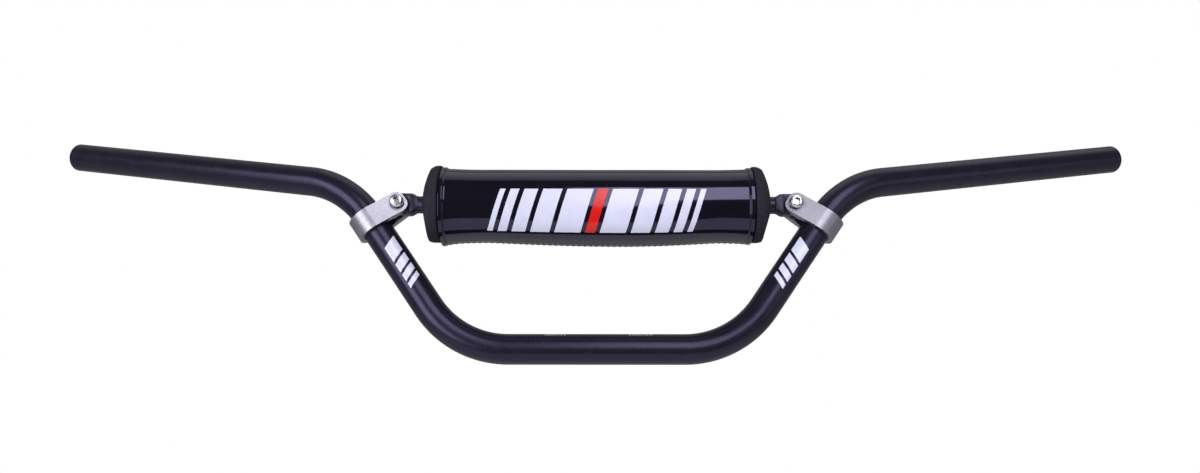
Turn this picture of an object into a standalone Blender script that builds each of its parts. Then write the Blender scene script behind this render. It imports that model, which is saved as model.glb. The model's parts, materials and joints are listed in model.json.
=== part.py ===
# Motocross handlebar: a bent tube, a crossbar held by two clamps, and a wrapped foam pad.
# Metres, +Z up. X runs along the bar, Y points to the rider, the legs stand in the XZ plane.
# The origin is on the tube's axis, in the middle of the straight length that the stem holds.

import math

import bmesh
import bpy
from mathutils import Matrix, Vector

MM = 0.001

# Clearances
SEAT_GAP = 0.3 * MM
CUT_MARGIN = 2.0 * MM

# Handlebar tube
TUBE_DIAMETER = 22.2 * MM
TUBE_WALL = 4.0 * MM
STEM_LENGTH = 128.0 * MM
LOWER_BEND_RADIUS = 72.0 * MM
LEG_ANGLE = math.radians(55.0)
LEG_LENGTH = 81.0 * MM
UPPER_BEND_RADIUS = 74.0 * MM
GRIP_SWEEP = math.radians(15.0)
GRIP_RISE = math.radians(9.5)
GRIP_LENGTH = 223.2 * MM
END_CHAMFER = 0.7 * MM
BEND_STEP = math.radians(5.5)

# Crossbar clamps, each one band bent round a leg with two ears
BAND_WIDTH = 16.0 * MM
BAND_WALL = 3.4 * MM
BAND_BORE_GAP = 0.35 * MM
CLAMP_BELOW_BEND = 3.3 * MM
BOLT_REACH = 24.1 * MM
EAR_PAST_BOLT = 6.2 * MM
EAR_TIP_THICKNESS = 5.0 * MM
EAR_CORNER_RADIUS = 6.0 * MM
HEAD_SEAT_THICKNESS = 4.3 * MM
HEAD_SEAT_GAP = 0.7 * MM
NUT_SEAT_GAP = 0.6 * MM
BAND_EDGE = 0.35 * MM

# Socket head screws and self-locking nuts, M6
SCREW_DIAMETER = 6.0 * MM
SCREW_LENGTH = 25.0 * MM
HEAD_DIAMETER = 10.0 * MM
HEAD_HEIGHT = 6.0 * MM
HEAD_CHAMFER = 0.8 * MM
SOCKET_FLATS = 5.0 * MM
SOCKET_DEPTH = 3.2 * MM
NUT_FLATS = 10.0 * MM
NUT_HEIGHT = 6.0 * MM
NUT_COLLAR_DIAMETER = 8.8 * MM
NUT_COLLAR_HEIGHT = 1.6 * MM
INSERT_HEIGHT = 1.2 * MM
INSERT_DIAMETER = 7.6 * MM

# Crossbar and the lug in each of its ends
CROSSBAR_DIAMETER = 13.0 * MM
CROSSBAR_WALL = 2.0 * MM
SPIGOT_LENGTH = 20.0 * MM
LUG_SHOULDER_TO_BOLT = 14.1 * MM
LUG_BODY_LENGTH = 5.9 * MM
LUG_FLARE_LENGTH = 3.5 * MM
LUG_BODY_DIAMETER = 16.6 * MM
LUG_BODY_THICKNESS = 11.2 * MM
TONGUE_THICKNESS = 8.0 * MM
TONGUE_EYE_RADIUS = 8.0 * MM
TONGUE_ROOT_WIDTH = 14.6 * MM
LUG_EDGE = 0.4 * MM

# Pad: a slit foam core with wide ends, and a sleeve closed under the pad by two strips
PAD_END_GAP = 4.4 * MM
CORE_DIAMETER = 50.0 * MM
CORE_RIM_DIAMETER = 57.0 * MM
CORE_RIM_WIDTH = 7.0 * MM
CORE_CONE_LENGTH = 6.5 * MM
CORE_CONE_BULGE = 0.9 * MM
CORE_SHOULDER_LENGTH = 4.0 * MM
CORE_SHOULDER_DROP = 2.2 * MM
CORE_NOSE_DIAMETER = 19.0 * MM
CORE_RIM_ROUND = 0.8 * MM
CORE_SLIT = 1.2 * MM
COVER_THICKNESS = 1.2 * MM
COVER_END_GAP = 1.0 * MM
COVER_HEM_WIDTH = 3.2 * MM
COVER_HEM_RISE = 0.9 * MM
COVER_HEM_SLOPE = 0.6 * MM
FLAP_EDGE_ANGLE = math.radians(196.0)
FLAP_OVERLAP = math.radians(54.0)
FLAP_RISE_ANGLE = math.radians(60.0)
FLAP_HEM_ANGLE = math.radians(7.0)
FLAP_HEM_STEP = math.radians(1.5)
FLAP_CORNER_LIFT = 1.2 * MM
FLAP_CORNER_LENGTH = 22.0 * MM
STRIP_THICKNESS = 1.2 * MM
STRIP_LENGTH = 150.0 * MM
STRIP_WIDTH = 14.0 * MM
STRIP_EDGE_MARGIN = math.radians(5.0)
STRIP_END_EASE = 22.0 * MM

# Numbers of facets
TUBE_RESOLUTION = 12
BORE_RESOLUTION = 6
ROUND_STEPS = 24
PAD_STEPS = 40
BAND_STEPS = 16
CORNER_STEPS = 6
TONGUE_STEPS = 16
CONE_STEPS = 4
COVER_STEPS = 46
FLAP_CORNER_STEPS = 3
STRIP_STEPS = 6
SMOOTH_ANGLE = math.radians(32.0)
EDGE_ANGLE = math.radians(40.0)

# Sizes that follow from those above
tube_radius = TUBE_DIAMETER / 2
bore_radius = tube_radius - TUBE_WALL
band_inner = tube_radius + BAND_BORE_GAP
band_outer = band_inner + BAND_WALL
screw_radius = SCREW_DIAMETER / 2
screw_hole_radius = screw_radius + SEAT_GAP
tongue_half = TONGUE_THICKNESS / 2
ear_inner = tongue_half + SEAT_GAP
ear_tip = BOLT_REACH + EAR_PAST_BOLT
ear_tip_face = ear_inner + EAR_TIP_THICKNESS
seat_level = ear_inner + HEAD_SEAT_THICKNESS
core_radius = CORE_DIAMETER / 2
core_rim_radius = CORE_RIM_DIAMETER / 2

ALONG = Vector((1.0, 0.0, 0.0))
REAR = Vector((0.0, 1.0, 0.0))


def leg_direction(side):
    return Vector((side * math.cos(LEG_ANGLE), 0.0, math.sin(LEG_ANGLE)))


def ear_direction(side):
    """Square to the leg, inwards and up."""
    return Vector((-side * math.sin(LEG_ANGLE), 0.0, math.cos(LEG_ANGLE)))


def grip_direction():
    flat = math.cos(GRIP_RISE)
    return Vector((flat * math.cos(GRIP_SWEEP), flat * math.sin(GRIP_SWEEP), math.sin(GRIP_RISE)))


def leg_foot(side):
    """Where the lower bend ends and the leg runs straight."""
    x = STEM_LENGTH / 2 + LOWER_BEND_RADIUS * math.sin(LEG_ANGLE)
    return Vector((side * x, 0.0, LOWER_BEND_RADIUS * (1 - math.cos(LEG_ANGLE))))


def clamp_centre(side):
    return leg_foot(side) + leg_direction(side) * (LEG_LENGTH - CLAMP_BELOW_BEND)


def bolt_place(side):
    return clamp_centre(side) + ear_direction(side) * BOLT_REACH


flap_start = FLAP_EDGE_ANGLE - FLAP_OVERLAP
flap_end = FLAP_EDGE_ANGLE + 2 * math.pi
bolt_x = bolt_place(1).x
crossbar_height = bolt_place(1).z
crossbar_half = bolt_x - LUG_SHOULDER_TO_BOLT
pad_half_length = crossbar_half - PAD_END_GAP
core_half_length = pad_half_length - CORE_CONE_LENGTH - CORE_RIM_WIDTH
cover_half_length = core_half_length - COVER_END_GAP


# Scene and collections


def clear_scene():
    for obj in list(bpy.data.objects):
        bpy.data.objects.remove(obj, do_unlink=True)
    for collection in list(bpy.data.collections):
        bpy.data.collections.remove(collection)


def new_collection(name):
    collection = bpy.data.collections.new(name)
    bpy.context.scene.collection.children.link(collection)
    return collection


clear_scene()
parts = new_collection("motocross_handlebar")
cutters = new_collection("cutters")


def material(name, colour, roughness, metallic):
    made = bpy.data.materials.new(name)
    made.use_nodes = True
    shader = made.node_tree.nodes["Principled BSDF"]
    shader.inputs["Base Color"].default_value = (*colour, 1.0)
    shader.inputs["Roughness"].default_value = roughness
    shader.inputs["Metallic"].default_value = metallic
    return made


satin_black = material("satin_black_tube", (0.016, 0.015, 0.022), 0.33, 0.0)
satin_aluminium = material("satin_aluminium", (0.62, 0.61, 0.66), 0.36, 1.0)
bright_steel = material("bright_steel", (0.62, 0.61, 0.62), 0.22, 1.0)
black_metal = material("black_metal", (0.018, 0.017, 0.023), 0.4, 0.0)
white_nylon = material("white_nylon", (0.7, 0.7, 0.68), 0.5, 0.0)
black_foam = material("black_foam", (0.022, 0.021, 0.027), 0.75, 0.0)
black_vinyl = material("black_vinyl", (0.012, 0.011, 0.016), 0.16, 0.0)
black_hook = material("black_hook_and_loop", (0.02, 0.02, 0.022), 0.9, 0.0)


# Building blocks


def finish(obj, collection, surface=None):
    """Links the object, shades it smooth between its sharp edges and gives it its material."""
    collection.objects.link(obj)
    if collection is cutters:
        obj.hide_render = True
        obj.display_type = "WIRE"
        return obj
    obj.data.shade_smooth()
    obj.data.set_sharp_from_angle(angle=SMOOTH_ANGLE)
    obj.data.materials.clear()
    obj.data.materials.append(surface)
    return obj


def curve_to_mesh(curve, name, matrix):
    """Turns a curve's data into a closed mesh object, its caps welded."""
    guide = bpy.data.objects.new(name + "_guide", curve)
    bpy.context.scene.collection.objects.link(guide)
    guide.matrix_world = matrix
    bpy.context.view_layer.update()
    graph = bpy.context.evaluated_depsgraph_get()
    mesh = bpy.data.meshes.new_from_object(guide.evaluated_get(graph))
    mesh.name = name
    bm = bmesh.new()
    bm.from_mesh(mesh)
    bmesh.ops.remove_doubles(bm, verts=bm.verts, dist=1e-6)
    bmesh.ops.recalc_face_normals(bm, faces=bm.faces)
    bm.to_mesh(mesh)
    bm.free()
    obj = bpy.data.objects.new(name, mesh)
    obj.matrix_world = guide.matrix_world.copy()
    bpy.data.objects.remove(guide)
    return obj


def round_bar(name, points, radius, resolution, end_scale=1.0):
    """A round bar along the points; end_scale narrows its two ends."""
    curve = bpy.data.curves.new(name, "CURVE")
    curve.dimensions = "3D"
    curve.bevel_depth = radius
    curve.bevel_resolution = resolution
    curve.use_fill_caps = True
    spline = curve.splines.new("POLY")
    spline.points.add(len(points) - 1)
    for target, point in zip(spline.points, points):
        target.co = (*point, 1.0)
    spline.points[0].radius = end_scale
    spline.points[-1].radius = end_scale
    return curve_to_mesh(curve, name, Matrix.Identity(4))


def plate(name, outline, thickness, matrix):
    """A flat outline in local XY, given thickness along local Z."""
    curve = bpy.data.curves.new(name, "CURVE")
    curve.dimensions = "2D"
    curve.fill_mode = "BOTH"
    curve.extrude = thickness / 2
    spline = curve.splines.new("POLY")
    spline.points.add(len(outline) - 1)
    for target, (x, y) in zip(spline.points, outline):
        target.co = (x, y, 0.0, 1.0)
    spline.use_cyclic_u = True
    return curve_to_mesh(curve, name, matrix)


def turned(name, profile, matrix, steps, closed=False):
    """Revolves (radius, height) points, listed down the outer side, about local Z."""
    mesh = bpy.data.meshes.new(name)
    edges = [(i, i + 1) for i in range(len(profile) - 1)]
    if closed:
        edges.append((len(profile) - 1, 0))
    mesh.from_pydata([(r, 0.0, z) for r, z in profile], edges, [])
    obj = bpy.data.objects.new(name, mesh)
    obj.matrix_world = matrix
    screw = obj.modifiers.new("turn", "SCREW")
    screw.axis = "Z"
    screw.steps = steps
    screw.render_steps = steps
    screw.use_merge_vertices = True
    screw.merge_threshold = 1e-6
    return obj


def prism(name, sides, radius, low, high, matrix):
    """A straight prism or cylinder from low to high along local Z."""
    bm = bmesh.new()
    place = Matrix.Translation((0.0, 0.0, (low + high) / 2))
    bmesh.ops.create_cone(
        bm,
        cap_ends=True,
        segments=sides,
        radius1=radius,
        radius2=radius,
        depth=high - low,
        matrix=place,
    )
    mesh = bpy.data.meshes.new(name)
    bm.to_mesh(mesh)
    bm.free()
    obj = bpy.data.objects.new(name, mesh)
    obj.matrix_world = matrix
    return obj


def box(name, low, high):
    bm = bmesh.new()
    size = Vector(high) - Vector(low)
    place = Matrix.Translation((Vector(high) + Vector(low)) / 2)
    bmesh.ops.create_cube(bm, size=1.0, matrix=place @ Matrix.Diagonal((*size, 1.0)))
    mesh = bpy.data.meshes.new(name)
    bm.to_mesh(mesh)
    bm.free()
    return bpy.data.objects.new(name, mesh)


def sheet(name, rows, thickness, matrix):
    """A grid of points, one row after another, thickened outwards."""
    width = len(rows[0])
    faces = []
    for i in range(len(rows) - 1):
        for j in range(width - 1):
            corner = i * width + j
            faces.append((corner, corner + 1, corner + width + 1, corner + width))
    mesh = bpy.data.meshes.new(name)
    mesh.from_pydata([point for row in rows for point in row], [], faces)
    obj = bpy.data.objects.new(name, mesh)
    obj.matrix_world = matrix
    solidify = obj.modifiers.new("thickness", "SOLIDIFY")
    solidify.thickness = thickness
    solidify.offset = 1.0
    solidify.use_even_offset = True
    return obj


def combine(obj, other, operation):
    boolean = obj.modifiers.new(other.name, "BOOLEAN")
    boolean.operation = operation
    boolean.object = other
    return obj


def soften(obj, width):
    bevel = obj.modifiers.new("edges", "BEVEL")
    bevel.width = width
    bevel.segments = 1
    bevel.limit_method = "ANGLE"
    bevel.angle_limit = EDGE_ANGLE
    bevel.use_clamp_overlap = True
    return obj


def frame_at(origin, x_axis, y_axis):
    z_axis = x_axis.cross(y_axis)
    turn = Matrix((x_axis, y_axis, z_axis)).transposed().to_4x4()
    return Matrix.Translation(origin) @ turn


def bolt_frame(side):
    """Local Z points out of the front ear, to -Y, from the bolt's middle."""
    return frame_at(bolt_place(side), ALONG, Vector((0.0, 0.0, 1.0)))


def outward_frame(side):
    """Local Z runs out along the crossbar's axis from the middle of the bar."""
    return frame_at(Vector((0.0, 0.0, crossbar_height)), REAR * side, Vector((0.0, 0.0, 1.0)))


def fillet(before, corner, after, radius):
    """The arc that rounds a convex corner of an outline."""
    before, corner, after = Vector(before), Vector(corner), Vector(after)
    back = (before - corner).normalized()
    ahead = (after - corner).normalized()
    half = back.angle(ahead) / 2
    centre = corner + (back + ahead).normalized() * (radius / math.sin(half))
    start = corner + back * (radius / math.tan(half)) - centre
    end = corner + ahead * (radius / math.tan(half)) - centre
    turn = math.pi - 2 * half
    points = []
    for i in range(CORNER_STEPS + 1):
        share = i / CORNER_STEPS
        weights = math.sin(turn * (1 - share)), math.sin(turn * share)
        point = centre + (start * weights[0] + end * weights[1]) / math.sin(turn)
        points.append(tuple(point))
    return points


def arc(radius, first, last, steps):
    angles = [first + (last - first) * i / steps for i in range(steps + 1)]
    return [(radius * math.cos(a), radius * math.sin(a)) for a in angles]


# Handlebar tube


def bend(point, heading, new_heading, radius):
    """Points of the arc that turns one heading into another, without its first point."""
    angle = heading.angle(new_heading)
    inward = (new_heading - heading * heading.dot(new_heading)).normalized()
    count = math.ceil(angle / BEND_STEP)
    points = []
    for i in range(1, count + 1):
        turn = angle * i / count
        points.append(point + radius * (heading * math.sin(turn) + inward * (1 - math.cos(turn))))
    return points


def half_axis(overrun):
    """The right half of the tube's axis, from the first bend out to its end and overrun past it."""
    leg, grip = leg_direction(1), grip_direction()
    points = [ALONG * (STEM_LENGTH / 2)]
    points += bend(points[-1], ALONG, leg, LOWER_BEND_RADIUS)
    points.append(points[-1] + leg * LEG_LENGTH)
    points += bend(points[-1], leg, grip, UPPER_BEND_RADIUS)
    end = points[-1] + grip * (GRIP_LENGTH + overrun)
    return points + [end - grip * END_CHAMFER, end]


def tube_axis(overrun=0.0):
    right = half_axis(overrun)
    left = [Vector((-p.x, p.y, p.z)) for p in reversed(right)]
    return left + right


def make_handlebar_tube():
    chamfered = (tube_radius - END_CHAMFER) / tube_radius
    tube = round_bar("handlebar_tube", tube_axis(), tube_radius, TUBE_RESOLUTION, chamfered)
    bore = round_bar("tube_bore", tube_axis(CUT_MARGIN), bore_radius, BORE_RESOLUTION)
    finish(bore, cutters)
    combine(tube, bore, "DIFFERENCE")
    return finish(tube, parts, satin_black)


# Crossbar clamps


def tangent_angle(point, radius):
    """Polar angle, above the axis, where the tangent from a point meets a round at the origin."""
    x, y = point
    return math.atan2(y, x) + math.acos(radius / math.hypot(x, y))


def band_section():
    """The band's section: x towards the bolt, y to the rear, open between its two ears."""
    tip = (ear_tip, ear_tip_face)
    outer = tangent_angle(tip, band_outer)
    slope = math.tan(outer - math.pi / 2)
    past = ear_tip + CUT_MARGIN
    past_face = ear_tip_face + CUT_MARGIN * slope
    mouth = (BOLT_REACH - TONGUE_EYE_RADIUS - SEAT_GAP, ear_inner)
    inner = tangent_angle(mouth, band_inner)
    outside = arc(band_outer, outer, 2 * math.pi - outer, BAND_STEPS)
    inside = arc(band_inner, 2 * math.pi - inner, inner, BAND_STEPS)
    ear_rear = [(past, ear_inner), (past, past_face)]
    ear_front = [(past, -past_face), (past, -ear_inner)]
    return ear_rear + outside + ear_front + [(mouth[0], -mouth[1])] + inside + [mouth]


def ear_plan():
    """The band seen from the front: x towards the bolt, y along the leg."""
    half = BAND_WIDTH / 2
    back = -band_outer - CUT_MARGIN
    low, low_tip = (back, -half), (ear_tip, -half)
    high_tip, high = (ear_tip, half), (back, half)
    outline = [low]
    outline += fillet(low, low_tip, high_tip, EAR_CORNER_RADIUS)
    outline += fillet(low_tip, high_tip, high, EAR_CORNER_RADIUS)
    return outline + [high]


def make_clamp(side, label):
    centre, ear, leg = clamp_centre(side), ear_direction(side), leg_direction(side)
    section = frame_at(centre, ear, REAR)
    band = plate("crossbar_clamp_" + label, band_section(), BAND_WIDTH + 2 * CUT_MARGIN, section)
    depth = 2 * (band_outer + CUT_MARGIN)
    plan = plate("ear_plan_" + label, ear_plan(), depth, frame_at(centre, ear, leg))
    combine(band, finish(plan, cutters), "INTERSECT")
    reach = band_outer + CUT_MARGIN
    head_seat = HEAD_DIAMETER / 2 + HEAD_SEAT_GAP
    nut_seat = NUT_FLATS / math.sqrt(3) + NUT_SEAT_GAP
    holes = (
        ("screw_hole_", screw_hole_radius, -reach, reach),
        ("head_seat_", head_seat, seat_level, reach),
        ("nut_seat_", nut_seat, -reach, -seat_level),
    )
    for name, radius, low, high in holes:
        hole = prism(name + label, ROUND_STEPS, radius, low, high, bolt_frame(side))
        combine(band, finish(hole, cutters), "DIFFERENCE")
    return finish(soften(band, BAND_EDGE), parts, satin_aluminium)


# Screws and nuts


def make_screw(side, label):
    under = seat_level + SEAT_GAP
    top = under + HEAD_HEIGHT
    end = under - SCREW_LENGTH
    head = HEAD_DIAMETER / 2
    profile = [
        (0.0, top),
        (head - HEAD_CHAMFER, top),
        (head, top - HEAD_CHAMFER),
        (head, under),
        (screw_radius, under),
        (screw_radius, end + HEAD_CHAMFER),
        (screw_radius - HEAD_CHAMFER, end),
        (0.0, end),
    ]
    screw = turned("clamp_screw_" + label, profile, bolt_frame(side), ROUND_STEPS)
    corner = SOCKET_FLATS / math.sqrt(3)
    bottom = top - SOCKET_DEPTH
    socket = prism("screw_socket_" + label, 6, corner, bottom, top + CUT_MARGIN, bolt_frame(side))
    combine(screw, finish(socket, cutters), "DIFFERENCE")
    return finish(screw, parts, bright_steel)


def make_nut(side, label):
    """Local Z points to the front, so the nut's collar is its lowest end."""
    face = -seat_level - SEAT_GAP
    end = face - NUT_HEIGHT
    shoulder = end + NUT_COLLAR_HEIGHT
    corner = NUT_FLATS / math.sqrt(3)
    flat = NUT_FLATS / 2
    drop = corner - flat
    collar = NUT_COLLAR_DIAMETER / 2
    pocket = INSERT_DIAMETER / 2 + SEAT_GAP
    floor = end + INSERT_HEIGHT + SEAT_GAP
    lip = end + SEAT_GAP
    profile = [
        (flat, face),
        (corner, face - drop),
        (corner, shoulder + drop),
        (flat, shoulder),
        (collar, shoulder),
        (collar, lip),
        (collar - SEAT_GAP, end),
        (pocket, end),
        (pocket, floor),
        (screw_hole_radius, floor),
        (screw_hole_radius, face),
    ]
    nut = turned("clamp_nut_" + label, profile, bolt_frame(side), ROUND_STEPS, closed=True)
    low, high = end - CUT_MARGIN, face + CUT_MARGIN
    flats = prism("nut_flats_" + label, 6, corner, low, high, bolt_frame(side))
    combine(nut, finish(flats, cutters), "INTERSECT")
    finish(nut, parts, bright_steel)
    ring = [
        (INSERT_DIAMETER / 2, end + INSERT_HEIGHT),
        (INSERT_DIAMETER / 2, end),
        (screw_hole_radius, end),
        (screw_hole_radius, end + INSERT_HEIGHT),
    ]
    insert = turned("nut_insert_" + label, ring, bolt_frame(side), ROUND_STEPS, closed=True)
    return finish(insert, parts, white_nylon)


# Crossbar and lugs


def make_crossbar():
    outer = CROSSBAR_DIAMETER / 2
    inner = outer - CROSSBAR_WALL
    half = crossbar_half - SEAT_GAP
    profile = [(outer, half), (outer, -half), (inner, -half), (inner, half)]
    bar = turned("crossbar", profile, outward_frame(1), ROUND_STEPS, closed=True)
    return finish(bar, parts, black_metal)


def make_lug(side, label):
    """A turned neck with two flats, and a flat tongue with an eye for the clamp's screw."""
    neck = CROSSBAR_DIAMETER / 2
    spigot = neck - CROSSBAR_WALL - SEAT_GAP
    start = crossbar_half - SPIGOT_LENGTH
    shoulder = crossbar_half
    end = shoulder + LUG_BODY_LENGTH
    body = LUG_BODY_DIAMETER / 2
    flared = shoulder + LUG_FLARE_LENGTH
    profile = [
        (0.0, end),
        (body - LUG_EDGE, end),
        (body, end - LUG_EDGE),
        (body, flared),
        (neck, shoulder),
        (spigot, shoulder),
        (spigot, start + LUG_EDGE),
        (spigot - LUG_EDGE, start),
        (0.0, start),
    ]
    lug = turned("crossbar_lug_" + label, profile, outward_frame(side), ROUND_STEPS)
    flat = LUG_BODY_THICKNESS / 2
    reach = bolt_x + body + CUT_MARGIN
    height = body + CUT_MARGIN
    slab = box("lug_flats_" + label, (-reach, -flat, -height), (reach, flat, height))
    slab.matrix_world = Matrix.Translation((0.0, 0.0, crossbar_height))
    combine(lug, finish(slab, cutters), "INTERSECT")
    tongue = plate("lug_tongue_" + label, tongue_outline(), TONGUE_THICKNESS, tongue_frame(side))
    combine(lug, finish(tongue, cutters), "UNION")
    low, high = -tongue_half - CUT_MARGIN, tongue_half + CUT_MARGIN
    eye = prism("lug_eye_" + label, ROUND_STEPS, screw_hole_radius, low, high, bolt_frame(side))
    combine(lug, finish(eye, cutters), "DIFFERENCE")
    return finish(lug, parts, black_metal)


def tongue_outline():
    """Seen from the front: x runs inwards from the bolt, the eye is round about it."""
    root = (LUG_SHOULDER_TO_BOLT - LUG_BODY_LENGTH / 2, TONGUE_ROOT_WIDTH / 2)
    meet = tangent_angle(root, TONGUE_EYE_RADIUS)
    eye = arc(TONGUE_EYE_RADIUS, meet, 2 * math.pi - meet, TONGUE_STEPS)
    return [root] + eye + [(root[0], -root[1])]


def tongue_frame(side):
    return frame_at(bolt_place(side), ALONG * -side, Vector((0.0, 0.0, 1.0)))


# Pad


def make_foam_core():
    """A slit tube of foam whose two ends widen to a rim, slope off and close in a rounded cone."""
    bore = CROSSBAR_DIAMETER / 2 + SEAT_GAP
    tip, tip_radius = pad_half_length, CORE_NOSE_DIAMETER / 2
    cone = []
    for i in range(CONE_STEPS + 1):
        share = i / CONE_STEPS
        radius = tip_radius + (core_rim_radius - CORE_SHOULDER_DROP - tip_radius) * share
        bulge = CORE_CONE_BULGE * 4 * share * (1 - share)
        cone.append((radius, tip - CORE_CONE_LENGTH * share + bulge))
    rim = tip - CORE_CONE_LENGTH
    half = [(bore, tip)] + cone
    half += [
        (core_rim_radius, rim - CORE_SHOULDER_LENGTH),
        (core_rim_radius, core_half_length + CORE_RIM_ROUND),
        (core_rim_radius - CORE_RIM_ROUND, core_half_length),
        (core_radius, core_half_length),
    ]
    profile = half + [(radius, -height) for radius, height in reversed(half)]
    core = turned("pad_foam_core", profile, outward_frame(1), PAD_STEPS, closed=True)
    low = crossbar_height - core_rim_radius - CUT_MARGIN
    slit = box(
        "foam_slit",
        (-tip - CUT_MARGIN, -CORE_SLIT / 2, low),
        (tip + CUT_MARGIN, CORE_SLIT / 2, crossbar_height),
    )
    combine(core, finish(slit, cutters), "DIFFERENCE")
    return finish(core, parts, black_foam)


def pad_point(x, angle, radius):
    """A point about the crossbar's axis; the angle runs from the top over the front."""
    y = -radius * math.sin(angle)
    return (x, y, crossbar_height + radius * math.cos(angle))


def smooth_step(value):
    value = min(max(value, 0.0), 1.0)
    return value * value * (3 - 2 * value)


def cover_radius(x, angle):
    """Inside of the sleeve: the inner flap, once round, then the outer flap over the strips."""
    from_end = cover_half_length - abs(x)
    end_hem = from_end < COVER_HEM_WIDTH - COVER_HEM_SLOPE / 2
    edge_hem = angle > flap_end - FLAP_HEM_ANGLE + FLAP_HEM_STEP / 2
    hem = COVER_HEM_RISE if end_hem or edge_hem else 0.0
    on_strip = smooth_step(1 - (abs(x) - STRIP_LENGTH / 2) / STRIP_END_EASE)
    stack = COVER_THICKNESS + SEAT_GAP + 2 * (STRIP_THICKNESS + SEAT_GAP) * on_strip
    rise_start = flap_start + 2 * math.pi - FLAP_RISE_ANGLE
    over = smooth_step((angle - rise_start) / FLAP_RISE_ANGLE)
    corner = smooth_step(1 - from_end / FLAP_CORNER_LENGTH) * over
    return core_radius + SEAT_GAP + hem + stack * over + FLAP_CORNER_LIFT * corner


def cover_stations():
    """Places along the sleeve in order, closer together where its flap changes shape."""
    end = cover_half_length
    half = [end, end - COVER_HEM_WIDTH + COVER_HEM_SLOPE, end - COVER_HEM_WIDTH]
    for i in range(1, FLAP_CORNER_STEPS + 1):
        half.append(end - FLAP_CORNER_LENGTH * i / FLAP_CORNER_STEPS)
    half += [STRIP_LENGTH / 2 + STRIP_END_EASE * share for share in (0.5, 0.0)]
    half.append(STRIP_LENGTH / 4)
    half.sort()
    return [-x for x in half[::-1]] + [0.0] + half


def make_pad_cover():
    turn = flap_end - FLAP_HEM_ANGLE - flap_start
    angles = [flap_start + turn * i / COVER_STEPS for i in range(COVER_STEPS + 1)]
    angles += [flap_end - FLAP_HEM_ANGLE + FLAP_HEM_STEP, flap_end]
    stations = cover_stations()
    rows = [[pad_point(x, a, cover_radius(x, a)) for a in angles] for x in stations]
    cover = sheet("pad_cover", rows, COVER_THICKNESS, Matrix.Identity(4))
    return finish(cover, parts, black_vinyl)


def make_strip(name, level):
    """One half of the hook-and-loop closure, bent round the sleeve under the flap."""
    radius = core_radius + 2 * SEAT_GAP + COVER_THICKNESS + level * (STRIP_THICKNESS + SEAT_GAP)
    spread = STRIP_WIDTH / radius
    first = FLAP_EDGE_ANGLE - FLAP_HEM_ANGLE - STRIP_EDGE_MARGIN - spread
    angles = [first + spread * i / STRIP_STEPS for i in range(STRIP_STEPS + 1)]
    ends = (-STRIP_LENGTH / 2, STRIP_LENGTH / 2)
    rows = [[pad_point(x, a, radius) for a in angles] for x in ends]
    strip = sheet(name, rows, STRIP_THICKNESS, Matrix.Identity(4))
    return finish(strip, parts, black_hook)


make_handlebar_tube()
make_crossbar()
for side, label in ((-1, "left"), (1, "right")):
    make_clamp(side, label)
    make_screw(side, label)
    make_nut(side, label)
    make_lug(side, label)
make_foam_core()
make_pad_cover()
make_strip("pad_loop_strip", 0)
make_strip("pad_hook_strip", 1)
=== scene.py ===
# The looks of a motocross handlebar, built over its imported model.
# Metres, +Z up, in the model's own frame: X along the bar, Y to the rider.

import json
import math
import random

import bmesh
import bpy
from mathutils import Matrix, Vector, noise

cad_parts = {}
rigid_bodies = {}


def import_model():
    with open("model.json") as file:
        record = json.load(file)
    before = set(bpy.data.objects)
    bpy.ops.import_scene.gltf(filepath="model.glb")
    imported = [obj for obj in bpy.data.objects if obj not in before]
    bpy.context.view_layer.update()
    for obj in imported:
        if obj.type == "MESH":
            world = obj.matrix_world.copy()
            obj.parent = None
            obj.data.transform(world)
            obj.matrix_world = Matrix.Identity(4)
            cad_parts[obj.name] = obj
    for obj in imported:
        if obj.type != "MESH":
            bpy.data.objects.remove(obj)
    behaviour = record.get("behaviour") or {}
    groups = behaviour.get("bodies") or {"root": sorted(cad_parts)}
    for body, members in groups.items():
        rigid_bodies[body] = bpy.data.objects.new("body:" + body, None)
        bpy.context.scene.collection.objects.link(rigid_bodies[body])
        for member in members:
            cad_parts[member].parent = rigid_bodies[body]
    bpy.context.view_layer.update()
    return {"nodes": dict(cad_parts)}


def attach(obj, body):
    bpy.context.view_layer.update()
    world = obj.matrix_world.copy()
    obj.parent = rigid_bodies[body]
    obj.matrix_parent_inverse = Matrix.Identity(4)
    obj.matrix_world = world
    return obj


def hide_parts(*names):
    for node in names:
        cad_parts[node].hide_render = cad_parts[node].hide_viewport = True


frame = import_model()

MM = 0.001
BODY = "root"
SIDES = ((-1, "left"), (1, "right"))
ALONG = Vector((1.0, 0.0, 0.0))
REAR = Vector((0.0, 1.0, 0.0))
UP = Vector((0.0, 0.0, 1.0))

# Handlebar tube
TUBE_RADIUS = 11.1 * MM
BORE_RADIUS = 7.1 * MM
STEM_LENGTH = 128.0 * MM
LOWER_BEND_RADIUS = 72.0 * MM
LEG_ANGLE = math.radians(55.0)
LEG_LENGTH = 81.0 * MM
UPPER_BEND_RADIUS = 74.0 * MM
GRIP_SWEEP = math.radians(15.0)
GRIP_RISE = math.radians(9.5)
GRIP_LENGTH = 223.2 * MM
END_ROUND = 0.7 * MM
BEND_STEP = math.radians(2.0)
STRAIGHT_STEP = 12.0 * MM
BORE_STEP = 48.0 * MM
TUBE_SIDES = 96
BORE_SIDES = 48

# Knurled half of the right grip
KNURL_START = 120.5 * MM
KNURL_LEAD = 0.3 * MM
KNURL_END_MARGIN = 2.5 * MM
KNURL_COUNT = 54
KNURL_HELIX = math.radians(30.0)
KNURL_DEPTH = 0.13 * MM
SAMPLES_PER_TOOTH = 4

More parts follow.
